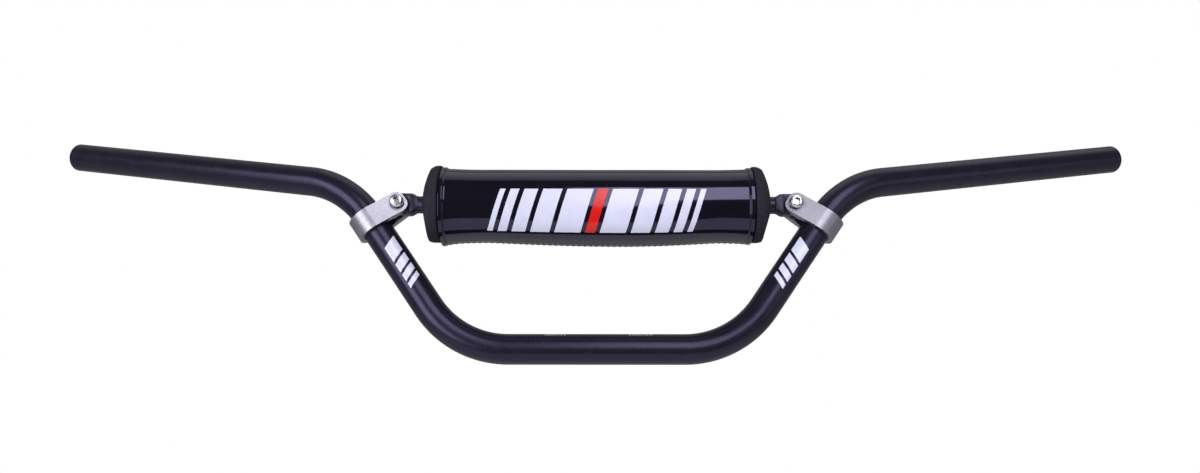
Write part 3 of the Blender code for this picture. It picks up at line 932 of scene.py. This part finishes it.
# Crossbar clamps


def tangent_angle(point, radius):
    """Polar angle, above the axis, where the tangent from a point meets a round at the origin."""
    x, y = point
    return math.atan2(y, x) + math.acos(radius / math.hypot(x, y))


def ear_face(level):
    """Where an ear's outer face leaves the band, and its level just past the ear's tip."""
    leaves = tangent_angle((EAR_TIP, level), BAND_OUTER)
    return leaves, level + CUT_MARGIN * math.tan(leaves - math.pi / 2)


def band_section():
    """The band's section: x towards the bolt, y to the rear, open between its two ears."""
    past = EAR_TIP + CUT_MARGIN
    rear, rear_face = ear_face(ear_tip_face)
    front, front_face = ear_face(ear_tip_face - EAR_FRONT_RELIEF)
    mouth = (BOLT_REACH - TONGUE_EYE_RADIUS - SEAT_GAP, ear_inner)
    inner = tangent_angle(mouth, BAND_INNER)
    outside = arc(BAND_OUTER, rear, 2 * math.pi - front, ROUND_STEPS)
    inside = arc(BAND_INNER, 2 * math.pi - inner, inner, ROUND_STEPS)
    ear_rear = [(past, ear_inner), (past, rear_face)]
    ear_front = [(past, -front_face), (past, -ear_inner)]
    return ear_rear + outside + ear_front + [(mouth[0], -mouth[1])] + inside + [mouth]


def ear_plan():
    """The band seen from the front: x towards the bolt, y along the leg."""
    half = BAND_WIDTH / 2
    back = -BAND_OUTER - CUT_MARGIN
    low, low_tip = (back, -half), (EAR_TIP, -half)
    high_tip, high = (EAR_TIP, half), (back, half)
    outline = [low]
    outline += fillet(low, low_tip, high_tip, EAR_CORNER_RADIUS, EAR_CORNER_STEPS)
    outline += fillet(low_tip, high_tip, high, EAR_CORNER_RADIUS, EAR_CORNER_STEPS)
    return outline + [high]


def make_clamp(side, label):
    centre, ear, leg = clamp_centre(side), ear_direction(side), leg_direction(side)
    reach = BAND_OUTER + CUT_MARGIN
    section = frame_at(centre, ear, REAR)
    band = plate("clamp_" + label, band_section(), BAND_WIDTH + 2 * CUT_MARGIN, section)
    plan = plate("ear_plan_" + label, ear_plan(), 2 * reach, frame_at(centre, ear, leg))
    combine(band, plan, "INTERSECT")
    holes = (
        ("screw_hole_", screw_hole_radius, -reach, reach),
        ("head_seat_", HEAD_SEAT_RADIUS, seat_level, reach),
        ("nut_seat_", NUT_SEAT_RADIUS, -reach, -seat_level),
    )
    for name, radius, low, high in holes:
        hole = prism(name + label, ROUND_STEPS, radius, low, high, bolt_frame(side))
        combine(band, hole, "DIFFERENCE")
    soften(band, BAND_EDGE)
    settle(band, "satin_aluminium", ["crossbar_clamp_" + label], angle=FLAT_ANGLE)


# Screws and nuts


def thread_radius(angle, height):
    """A triangular thread's radius, with flat crests and a flat root."""
    share = height / THREAD_PITCH - angle / (2 * math.pi)
    rise = 2 * abs(share - math.floor(share) - 0.5)
    depth = THREAD_DEPTH * min(max(THREAD_FLANK * rise - THREAD_CREST, 0.0), 1.0)
    return SCREW_RADIUS - THREAD_CREST_DROP - depth


def screw_head_rows(under, top):
    """(height, radii) down the head: face, chamfer, knurled side and foot."""
    chamfer = top - HEAD_CHAMFER
    profile = (
        (HEAD_RADIUS - HEAD_CHAMFER - HEAD_EDGE, top, 0.0),
        (HEAD_RADIUS - HEAD_CHAMFER, top - HEAD_EDGE / 2, 0.0),
        (HEAD_RADIUS - HEAD_EDGE, chamfer, 0.0),
        (HEAD_RADIUS, chamfer - HEAD_EDGE, 0.0),
        (HEAD_RADIUS, chamfer - 2 * HEAD_EDGE, HEAD_GROOVE),
        (HEAD_RADIUS, under + 2 * HEAD_FOOT, HEAD_GROOVE),
        (HEAD_RADIUS, under + HEAD_FOOT, 0.0),
        (HEAD_RADIUS - HEAD_FOOT, under, 0.0),
        (SCREW_RADIUS, under, 0.0),
    )
    every = SCREW_STEPS // HEAD_TEETH
    rows = []
    for radius, height, groove in profile:
        radii = [radius - (0.0 if j % every else groove) for j in range(SCREW_STEPS)]
        rows.append((height, radii))
    return rows


def screw_thread_rows(end):
    """(height, radii) down the thread, from the plain shank to the screw's tapered end."""
    top = end + THREAD_LENGTH
    rows = [(top + THREAD_RUNOUT, [SCREW_RADIUS] * SCREW_STEPS)]
    count = int(THREAD_LENGTH / (THREAD_PITCH / ROWS_PER_PITCH))
    for i in range(count + 1):
        height = top - THREAD_LENGTH * i / count
        taper = SCREW_RADIUS - SCREW_POINT * (1 - smooth_step((height - end) / SCREW_POINT))
        angles = [2 * math.pi * j / SCREW_STEPS for j in range(SCREW_STEPS)]
        rows.append((height, [min(thread_radius(angle, height), taper) for angle in angles]))
    return rows


def make_screw(side, label):
    """A socket head screw: head, plain shank and thread in one, with a hexagon cut in."""
    under = seat_level + SEAT_GAP
    top = under + HEAD_HEIGHT
    body = Loft()
    for height, radii in screw_head_rows(under, top) + screw_thread_rows(under - SCREW_LENGTH):
        ring = []
        for j, radius in enumerate(radii):
            angle = 2 * math.pi * j / SCREW_STEPS
            ring.append((radius * math.cos(angle), radius * math.sin(angle), height))
        body.ring(ring)
    body.cap()
    screw = mesh_object("screw_" + label, body.points, body.faces)
    screw.matrix_world = bolt_frame(side)
    corner = SOCKET_FLATS / math.sqrt(3)
    bottom = top - SOCKET_DEPTH
    socket = prism("screw_socket_" + label, 6, corner, bottom, top + CUT_MARGIN, bolt_frame(side))
    combine(screw, socket, "DIFFERENCE")
    settle(screw, "bright_steel", ["clamp_screw_" + label])


def make_nut(side, label):
    """A self-locking nut; local Z points to the front, so its collar is its lowest end."""
    face = -seat_level - SEAT_GAP
    end = face - NUT_HEIGHT
    shoulder = end + NUT_COLLAR_HEIGHT
    corner = NUT_FLATS / math.sqrt(3)
    flat = NUT_FLATS / 2
    drop = corner - flat
    pocket = INSERT_RADIUS + SEAT_GAP
    floor = end + INSERT_HEIGHT + SEAT_GAP
    profile = [
        (flat, face),
        (corner, face - drop),
        (corner, shoulder + drop),
        (flat, shoulder),
        (NUT_COLLAR_RADIUS, shoulder),
    ]
    for sine, cosine in quarter_turns():
        profile.append((NUT_COLLAR_RADIUS - NUT_LIP * (1 - cosine), end + NUT_LIP * (1 - sine)))
    profile += [(pocket, end), (pocket, floor), (screw_hole_radius, floor), (screw_hole_radius, face)]
    nut = turned("nut_" + label, profile, bolt_frame(side), ROUND_STEPS, closed=True)
    low, high = end - CUT_MARGIN, face + CUT_MARGIN
    flats = prism("nut_flats_" + label, 6, corner, low, high, bolt_frame(side))
    combine(nut, flats, "INTERSECT")
    settle(nut, "bright_steel", ["clamp_nut_" + label])
    ring = [
        (INSERT_RADIUS, end + INSERT_HEIGHT),
        (INSERT_RADIUS, end + INSERT_EDGE),
        (INSERT_RADIUS - INSERT_EDGE, end),
        (screw_hole_radius + INSERT_EDGE, end),
        (screw_hole_radius, end + INSERT_EDGE),
        (screw_hole_radius, end + INSERT_HEIGHT),
    ]
    insert = turned("nylon_ring_" + label, ring, bolt_frame(side), ROUND_STEPS, closed=True)
    settle(insert, "white_nylon", ["nut_insert_" + label])


# Crossbar and lugs


def make_crossbar():
    inner = CROSSBAR_RADIUS - CROSSBAR_WALL
    half = crossbar_half - SEAT_GAP
    right = rounded_edge(CROSSBAR_RADIUS, half, CROSSBAR_EDGE)
    left = [(r, -h) for r, h in reversed(right)]
    profile = right + left + [(inner, -half), (inner, half)]
    bar = turned("cross_tube", profile, outward_frame(1), TURNED_STEPS, closed=True)
    settle(bar, "black_metal", ["crossbar"])


def tongue_outline():
    """Seen from the front: x runs inwards from the bolt, the eye is round about it."""
    root = (LUG_SHOULDER_TO_BOLT - LUG_FLARE_LENGTH, TONGUE_ROOT_WIDTH / 2)
    meet = tangent_angle(root, TONGUE_EYE_RADIUS)
    eye = arc(TONGUE_EYE_RADIUS, meet, 2 * math.pi - meet, EYE_STEPS)
    return [root] + eye + [(root[0], -root[1])]


def lug_profile():
    """The turned lug from its outer end, over its body and flare, to the end of its spigot."""
    spigot = CROSSBAR_RADIUS - CROSSBAR_WALL - SEAT_GAP
    start = crossbar_half - SPIGOT_LENGTH
    end = crossbar_half + LUG_BODY_LENGTH
    profile = [(0.0, end)] + rounded_edge(LUG_BODY_RADIUS, end, LUG_EDGE)
    for i in range(LUG_FLARE_STEPS + 1):
        share = 1 - i / LUG_FLARE_STEPS
        radius = CROSSBAR_RADIUS + (LUG_BODY_RADIUS - CROSSBAR_RADIUS) * smooth_step(share)
        profile.append((radius, crossbar_half + LUG_FLARE_LENGTH * share))
    return profile + [
        (spigot, crossbar_half),
        (spigot, start + LUG_EDGE),
        (spigot - LUG_EDGE, start),
        (0.0, start),
    ]


def make_lug(side, label):
    """A turned neck with two flats, and a flat tongue with an eye for the clamp's screw."""
    lug = turned("lug_" + label, lug_profile(), outward_frame(side), TURNED_STEPS)
    flat = LUG_BODY_THICKNESS / 2
    height = LUG_BODY_RADIUS + CUT_MARGIN
    reach = bolt_x + height
    slab = box("lug_flats_" + label, (-reach, -flat, -height), (reach, flat, height))
    slab.matrix_world = Matrix.Translation((0.0, 0.0, crossbar_height))
    combine(lug, slab, "INTERSECT")
    place = frame_at(bolt_place(side), ALONG * -side, UP)
    tongue = plate("lug_tongue_" + label, tongue_outline(), TONGUE_THICKNESS, place)
    combine(lug, tongue, "UNION")
    through = tongue_half + CUT_MARGIN
    eye = prism("lug_eye_" + label, EYE_STEPS, screw_hole_radius, -through, through, bolt_frame(side))
    combine(lug, eye, "DIFFERENCE")
    soften(lug, LUG_BEVEL, 2)
    settle(lug, "black_metal", ["crossbar_lug_" + label])


# Pad core


def core_profile(turn, side):
    """(radius, distance out) along half the core, from its bore to its waist.

    The turn runs from 0 at the top, where the shoulder is worn round, to pi at the bottom.
    """
    bore = CROSSBAR_RADIUS + SEAT_GAP
    tip = pad_half_length
    upper = 0.5 + 0.5 * math.cos(turn)
    rim_radius = CORE_RIM_RADIUS + CORE_RIM_LIFT[side] * upper
    cone = CORE_CONE_LENGTH - CORE_LOW_CONE_CUT[side] * (1 - upper)
    drop = CORE_LOW_SHOULDER_DROP + (CORE_SHOULDER_DROP - CORE_LOW_SHOULDER_DROP) * upper
    shoulder = rim_radius - drop
    half = [(bore + out, tip - depth) for out, depth in CORE_MOUTH]
    for i in range(CORE_CONE_STEPS + 1):
        share = i / CORE_CONE_STEPS
        radius = CORE_NOSE_RADIUS + (shoulder - CORE_NOSE_RADIUS) * share
        bulge = CORE_CONE_BULGE * upper * 4 * share * (1 - share)
        half.append((radius, tip - cone * share + bulge))
    for i in range(1, CORE_SHOULDER_STEPS + 1):
        share = i / CORE_SHOULDER_STEPS
        rise = drop * math.sin(math.pi / 2 * share)
        half.append((shoulder + rise, tip - cone - CORE_SHOULDER_LENGTH * share))
    for sine, cosine in quarter_turns(CORE_RIM_STEPS):
        out = core_half_length + CORE_RIM_ROUND * (1 - sine)
        half.append((rim_radius - CORE_RIM_ROUND * (1 - cosine), out))
    half.append((CORE_RADIUS + CORE_WAIST_CORNER, core_half_length))
    half.append((CORE_RADIUS, core_half_length - CORE_WAIST_CORNER))
    return half


def core_rows(turn):
    """The whole profile, with the long waist and the bore split into short runs."""
    right = core_profile(turn, 1)
    left = [(r, -x) for r, x in reversed(core_profile(turn, -1))]
    bore_radius, bore_end = right[0]
    waist_end = right[-1][1]
    waist = []
    for i in range(1, CORE_WAIST_STEPS):
        waist.append((CORE_RADIUS, waist_end * (1 - 2 * i / CORE_WAIST_STEPS)))
    bore = []
    for i in range(1, CORE_BORE_STEPS):
        bore.append((bore_radius, -bore_end * (1 - 2 * i / CORE_BORE_STEPS)))
    return right + waist + left + bore


def foam_dent(point, radius):
    """Moulded foam is never quite true: a small, smooth unevenness on its outer skin."""
    if radius < CORE_NOSE_RADIUS:
        return 0.0
    if abs(point.x) < core_half_length:
        return -WAIST_DRAW_IN
    return FOAM_UNEVENNESS * noise.noise(point * FOAM_UNEVEN_SCALE)


def make_foam_core():
    """The profile swept round from one face of the slit to the other."""
    body = Loft()
    for i in range(CORE_STEPS + 1):
        ring = []
        for radius, x in core_rows(math.pi + 2 * math.pi * i / CORE_STEPS):
            gap = math.asin(CORE_SLIT / 2 / radius)
            angle = math.pi + gap + (2 * math.pi - 2 * gap) * i / CORE_STEPS
            y, z = -radius * math.sin(angle), radius * math.cos(angle)
            scale = (radius + foam_dent(Vector((x, y, z)), radius)) / radius
            ring.append((x, y * scale, crossbar_height + z * scale))
        body.ring(ring)
    body.cap()
    core = mesh_object("foam_core", body.points, body.faces)
    settle(core, "black_foam", ["pad_foam_core"])


# Pad cover


def pad_point(x, angle, radius):
    """A point about the crossbar's axis; the angle runs from the top over the front."""
    y = -radius * math.sin(angle)
    return Vector((x, y, crossbar_height + radius * math.cos(angle)))


def side_of(x):
    return 1 if x > 0 else -1


def end_share(x, length):
    """0 along the sleeve, rising ever faster to 1 at its two ends."""
    from_end = cover_half_length - abs(x)
    return max(1 - from_end / length, 0.0) ** 2


def flap_share(angle):
    """0 on the inner turn of the sleeve, rising to 1 where it lies over the strips."""
    rise_start = flap_start + 2 * math.pi - FLAP_RISE_ANGLE
    return smooth_step((angle - rise_start) / FLAP_RISE_ANGLE)


def strip_share(x):
    """How much of the closure's full thickness lies under the flap, which hangs in a soft arch."""
    away = x - ARCH_MIDDLE
    reach = ARCH_REACH[side_of(away)]
    return ARCH_FULLNESS * math.cos(math.pi / 2 * min(abs(away) / reach, 1.0))


def hem_rise(x, angle):
    """Rise of the folded hems at both ends and along the flap's free edge, with eased steps."""
    from_end = cover_half_length - abs(x)
    end_hem = smooth_step((HEM_WIDTH + HEM_EDGE / 2 - from_end) / HEM_EDGE)
    edge_arc = (flap_end - angle) * CORE_RADIUS
    edge_width = FLAP_HEM_ANGLE * CORE_RADIUS
    edge_hem = smooth_step((edge_width + HEM_EDGE / 2 - edge_arc) / HEM_EDGE)
    return max(HEM_RISE * end_hem, FLAP_HEM_RISE * edge_hem)


def cover_inside(x, angle):
    """Inside of the sleeve: the inner flap, once round, then the outer flap over the strips."""
    side = side_of(x)
    stack = COVER_THICKNESS + SEAT_GAP + 2 * (STRIP_THICKNESS + SEAT_GAP) * strip_share(x)
    stack += FLAP_CORNER_LIFT[side] * end_share(x, FLAP_CORNER_LENGTH)
    flare = END_FLARE[side] * end_share(x, END_FLARE_LENGTH)
    return CORE_RADIUS + SEAT_GAP + stack * flap_share(angle) + flare


def cover_wave(x, angle):
    """The sleeve's slight unevenness: long soft waves, stronger on the loose flap."""
    place = Vector((x * WAVE_ALONG, math.cos(angle) * WAVE_ROUND, math.sin(angle) * WAVE_ROUND))
    loose = WAVE_TIGHT + WAVE_LOOSE * flap_share(angle)
    return loose * noise.noise(place) + RIPPLE * noise.noise(place * RIPPLE_SCALE)


def cover_pucker(x, angle):
    """The vinyl is drawn in along its stitched rows, most at each stitch hole."""
    return max(row.pucker(x, angle) for row in stitch_rows)


def cover_radius(x, angle):
    """Outside of the sleeve."""
    shape = cover_inside(x, angle) + COVER_THICKNESS + hem_rise(x, angle)
    return shape + cover_wave(x, angle) - cover_pucker(x, angle)


def cover_lining(x, angle):
    """Inside of the sleeve with its waves, which don't reach into what it lies on."""
    return cover_inside(x, angle) + max(cover_wave(x, angle), -INNER_WAVE_LIMIT)


class StitchRow:
    """A straight row of stitches along the sleeve, at an angle round it."""

    def __init__(self, angle, half_length):
        self.angle = angle
        self.half_length = half_length
        self.count = int(2 * half_length / STITCH_PITCH)
        self.pitch = 2 * half_length / self.count

    def stations(self):
        return [self.pitch * (i + 0.5) - self.half_length for i in range(self.count)]

    def pucker(self, x, angle):
        away = abs(angle - self.angle) * (CORE_RADIUS + COVER_THICKNESS)
        if away > PUCKER_REACH or abs(x) > self.half_length:
            return 0.0
        beat = 0.5 + 0.5 * math.cos(2 * math.pi * (x + self.half_length) / self.pitch)
        depth = PUCKER_DEPTH * (PUCKER_BETWEEN + (1 - PUCKER_BETWEEN) * beat)
        return depth * smooth_step(1 - away / PUCKER_REACH)


def stitch_plan():
    """Rows on the flap's edge hem and over the strip; the end hems are welded."""
    strip_edge = flap_end - FLAP_HEM_ANGLE - STRIP_EDGE_MARGIN
    strip_half = STRIP_LENGTH / 2 - STRIP_STITCH_MARGIN
    return [
        StitchRow(flap_end - FLAP_HEM_ANGLE * HEM_STITCH_SHARE, cover_half_length - HEM_WIDTH),
        StitchRow(strip_edge - STRIP_STITCH_MARGIN / CORE_RADIUS, strip_half),
        StitchRow(strip_edge - (STRIP_WIDTH - STRIP_STITCH_MARGIN) / CORE_RADIUS, strip_half),
    ]


stitch_rows = stitch_plan()


def cover_grid():
    """Places along and round the sleeve, closer together at its hems."""
    end = cover_half_length
    count = HEM_COLUMNS + HEM_COLUMNS_PAST
    xs = {round(end - HEM_WIDTH * i / HEM_COLUMNS, 6) for i in range(count + 1)}
    plain = end - HEM_WIDTH * count / HEM_COLUMNS
    for i in range(COVER_COLUMNS + 1):
        xs.add(round(plain * i / COVER_COLUMNS, 6))
    right = sorted(xs)
    stations = [-x for x in reversed(right) if x > 0] + right
    hem = FLAP_HEM_ZONE * FLAP_HEM_ANGLE
    turn = flap_end - hem - flap_start
    angles = [flap_start + turn * i / COVER_ROWS for i in range(COVER_ROWS)]
    angles += [flap_end - hem * (1 - i / FLAP_HEM_ROWS) for i in range(FLAP_HEM_ROWS + 1)]
    return stations, angles


def cover_flat_size(angles):
    """The sheet's cut size: its length, and its middle layer's way round where the flap is fullest."""
    x = ARCH_MIDDLE
    middle = [pad_point(x, a, (cover_inside(x, a) + cover_radius(x, a)) / 2) for a in angles]
    around = sum((after - before).length for before, after in zip(middle, middle[1:]))
    return 2 * cover_half_length, around


def make_cover():
    stations, angles = cover_grid()
    outer = [[pad_point(x, a, cover_radius(x, a)) for a in angles] for x in stations]
    inner = [[pad_point(x, a, cover_lining(x, a)) for a in angles] for x in stations]
    cover = shell("sleeve", outer, inner)
    soften(cover, COVER_EDGE, 2, COVER_BEVEL_ANGLE)
    cover_flat_size(angles)
    settle(cover, "black_vinyl", ["pad_cover"])


def add_stitch(seam, start, end, up):
    """A short round thread, bowed up between its two ends, which dip into what it sews."""
    along = (end - start).normalized()
    across = along.cross(up).normalized()
    for i in range(STITCH_RINGS):
        share = i / (STITCH_RINGS - 1)
        bow = math.sin(math.pi * share)
        lift = THREAD_RADIUS * (STITCH_RISE * bow ** STITCH_BOW_POWER - STITCH_SINK)
        radius = THREAD_RADIUS * (STITCH_END + (1 - STITCH_END) * bow ** STITCH_GIRTH_POWER)
        place = (start.lerp(end, share) + up * lift, across, up)
        seam.ring(round_points(place, STITCH_SIDES, radius))
    seam.cap()


def make_stitches():
    seam = Loft()
    for row in stitch_rows:
        angle = row.angle
        up = Vector((0.0, -math.sin(angle), math.cos(angle)))
        for station in row.stations():
            ends = []
            for x in (station - STITCH_LENGTH / 2, station + STITCH_LENGTH / 2):
                ends.append(pad_point(x, angle, cover_radius(x, angle)))
            add_stitch(seam, ends[0], ends[1], up)
    stitches = mesh_object("sleeve_stitching", seam.points, seam.faces)
    settle(stitches, "black_thread", slot="black_vinyl")


def make_strip(name, level, replaced):
    """One half of the hook-and-loop closure, bent round the sleeve under the flap."""
    base = CORE_RADIUS + 2 * SEAT_GAP + COVER_THICKNESS
    spread = STRIP_WIDTH / base
    first = FLAP_EDGE_ANGLE - FLAP_HEM_ANGLE - STRIP_EDGE_MARGIN - spread
    angles = [first + spread * i / STRIP_ROWS for i in range(STRIP_ROWS + 1)]
    stations = [STRIP_LENGTH * (i / STRIP_COLUMNS - 0.5) for i in range(STRIP_COLUMNS + 1)]
    draw = random.Random(level + 3)
    outer, inner = [], []
    for x in stations:
        thickness = STRIP_THICKNESS * strip_share(x)
        radius = base + level * (STRIP_THICKNESS + SEAT_GAP) * strip_share(x)
        nap = STRIP_NAP * thickness
        tops = [radius + thickness - nap * draw.uniform(0.0, 2.0) for a in angles]
        outer.append([pad_point(x, a, top) for a, top in zip(angles, tops)])
        inner.append([pad_point(x, a, radius) for a in angles])
    strip = shell(name, outer, inner)
    settle(strip, "black_hook_and_loop", [replaced])


# Printed graphics


def film(name, finish, slot, on, middle, size, slant=0.0):
    """A thin printed parallelogram. Its middle and size are (u, v) lengths, which on() places."""
    shares = [i / FILM_STEPS - 0.5 for i in range(FILM_STEPS + 1)]
    outer, inner = [], []
    for along in shares:
        places = []
        for across in shares:
            rise = across * size[1]
            places.append((middle[0] + along * size[0] + slant * rise, middle[1] + rise))
        outer.append([on(u, v, FILM_LIFT) for u, v in places])
        inner.append([on(u, v, -FILM_LIFT / 2) for u, v in places])
    settle(shell(name, outer, inner), finish, slot=slot)


def on_cover(u, v, lift):
    """u is metres along the pad, v metres up from its front's middle line."""
    angle = COVER_FRONT - v / (CORE_RADIUS + COVER_THICKNESS)
    return pad_point(u, angle, cover_radius(u, angle) + lift)


def on_tube(start, along, over):
    """u is metres along the tube from a start, v metres round it from its front, over one side."""

    def place(u, v, lift):
        angle = v / TUBE_RADIUS
        out = REAR * -math.cos(angle) + over * math.sin(angle)
        return start + along * u + out * (TUBE_RADIUS + lift)

    return place


def make_pad_print():
    """A generic pattern: slanted bars that grow towards a red one, mirrored about the middle."""
    for side, label in SIDES:
        place = PAD_BAR_FIRST
        for i, width in enumerate(PAD_BAR_WIDTHS):
            name = "pad_bar_%s_%d" % (label, i + 1)
            middle, size = (side * (place + width / 2), PAD_BAR_RISE), (width, PAD_BAR_HEIGHT)
            film(name, "white_print", "black_vinyl", on_cover, middle, size, PAD_BAR_SLANT)
            place += width + PAD_BAR_GAP
    middle, size = (0.0, PAD_BAR_RISE), (PAD_BAR_MIDDLE, PAD_BAR_HEIGHT)
    film("pad_bar_middle", "red_print", "black_vinyl", on_cover, middle, size, PAD_BAR_SLANT)


def make_leg_print():
    """Short slanted bars that grow up each leg."""
    for side, label in SIDES:
        on_leg = on_tube(leg_foot(side), leg_direction(side), ear_direction(side))
        for i, (u, width) in enumerate(LEG_BARS):
            name = "leg_bar_%s_%d" % (label, i + 1)
            middle, size = (u, LEG_BAR_TURN[side]), (width, LEG_BAR_HEIGHT)
            film(name, "white_print", "satin_black_tube", on_leg, middle, size, LEG_BAR_SLANT)


def make_marks():
    """Pale setting-out lines on the length that the stem holds."""
    v = MARK_TURN * TUBE_RADIUS
    on_stem = on_tube(Vector((0.0, 0.0, 0.0)), ALONG, UP)
    for label, (start, end) in STEM_LINES.items():
        middle, size = ((start + end) / 2, v), (end - start, MARK_WIDTH)
        film("stem_line_" + label, "grey_print", "satin_black_tube", on_stem, middle, size)
    for label, x in STEM_TICKS.items():
        size = (MARK_WIDTH, TICK_HEIGHT)
        film("stem_tick_" + label, "grey_print", "satin_black_tube", on_stem, (x, v), size)


# Stage


def floor_material():
    """Pale and matt round the object, fading to plain white away from it."""
    material = bpy.data.materials.new("pale_floor")
    nodes = Nodes(material, empty=True)
    away = nodes.add("VectorMath", ((0, nodes.place()),), operation="LENGTH")["Value"]
    fade = nodes.spread(away, 0.0, 1.0, FLOOR_PALE_REACH, FLOOR_WHITE_REACH, "SMOOTHSTEP")
    seen = nodes.add("LightPath")["Is Camera Ray"]
    matt = nodes.add("BsdfDiffuse", (("Color", FLOOR_COLOUR),))["BSDF"]
    glow = nodes.add("Emission", (("Strength", nodes.mixed(seen, 0.0, FLOOR_GLOW)),))["Emission"]
    pale = nodes.add("AddShader", ((0, matt), (1, glow)))["Shader"]
    white = nodes.add("Emission", (("Strength", nodes.greatest(seen, FLOOR_REFLECTED)),))["Emission"]
    surface = nodes.add("MixShader", ((0, fade), (1, pale), (2, white)))["Shader"]
    nodes.add("OutputMaterial", (("Surface", surface),))
    return material


def make_floor():
    bm = bmesh.new()
    corners = (
        (-FLOOR_REACH, FLOOR_FRONT),
        (FLOOR_REACH, FLOOR_FRONT),
        (FLOOR_REACH, FLOOR_REACH),
        (-FLOOR_REACH, FLOOR_REACH),
    )
    bm.faces.new([bm.verts.new((x, y, FLOOR_LEVEL)) for x, y in corners])
    floor = bmesh_object("floor", bm)
    floor.data.materials.append(floor_material())


def make_world():
    """White where the camera looks, an even fill, and a studio with a dark front in reflections."""
    world = bpy.data.worlds.new("studio")
    bpy.context.scene.world = world
    nodes = Nodes(world, empty=True)
    heading = nodes.add("TexCoord")["Generated"]
    rearward = nodes.add("SeparateXYZ", (("Vector", heading),))["Y"]
    studio = nodes.spread(rearward, FRONT_LEVEL, REAR_LEVEL, FRONT_END, REAR_START, "SMOOTHSTEP")
    rays = nodes.add("LightPath")
    mirror = nodes.greatest(rays["Is Glossy Ray"], rays["Is Transmission Ray"])
    strength = nodes.mixed(rays["Is Camera Ray"], nodes.mixed(mirror, FILL_LEVEL, studio), 1.0)
    surface = nodes.add("Background", (("Color", WHITE), ("Strength", strength)))["Background"]
    nodes.add("OutputWorld", (("Surface", surface),))


def make_lights():
    """A tall soft box high in front, a low one at the left, a dim one at the right and one overhead."""
    for name, (place, size, aim, radiance) in PANELS.items():
        light = bpy.data.lights.new(name, "AREA")
        light.shape = "RECTANGLE"
        light.size, light.size_y = size
        light.energy = radiance * math.pi * size[0] * size[1]
        lamp = link(bpy.data.objects.new(name, light))
        lamp.location = place
        facing = -Vector(place) if aim is None else aim
        lamp.rotation_euler = facing.to_track_quat("-Z", "Y").to_euler()
        lamp.visible_camera = False


def make_camera():
    data = bpy.data.cameras.new("camera")
    data.lens = LENS
    data.sensor_width = SENSOR
    camera = link(bpy.data.objects.new("camera", data))
    turn = Matrix.Rotation(CAMERA_LEAN, 4, "X") @ Matrix.Rotation(-CAMERA_YAW, 4, "Z")
    turn = turn @ Matrix.Rotation(math.radians(90.0), 4, "X") @ Matrix.Rotation(CAMERA_ROLL, 4, "Z")
    camera.matrix_world = Matrix.Translation(CAMERA_PLACE) @ turn
    bpy.context.scene.camera = camera


def remove_cutters():
    """Removes the hidden objects that were cut with, and no node of the model."""
    for obj in list(bpy.context.scene.objects):
        if obj.hide_render and obj.type == "MESH" and obj.name not in frame["nodes"]:
            bpy.data.objects.remove(obj)


make_camera()
make_tube()
make_crossbar()
for side, label in SIDES:
    make_clamp(side, label)
    make_screw(side, label)
    make_nut(side, label)
    make_lug(side, label)
make_foam_core()
make_cover()
make_stitches()
make_strip("loop_tape", 0, "pad_loop_strip")
make_strip("hook_tape", 1, "pad_hook_strip")
make_pad_print()
make_leg_print()
make_marks()
make_floor()
make_world()
make_lights()
remove_cutters()
bpy.context.scene.view_settings.view_transform = "Standard"
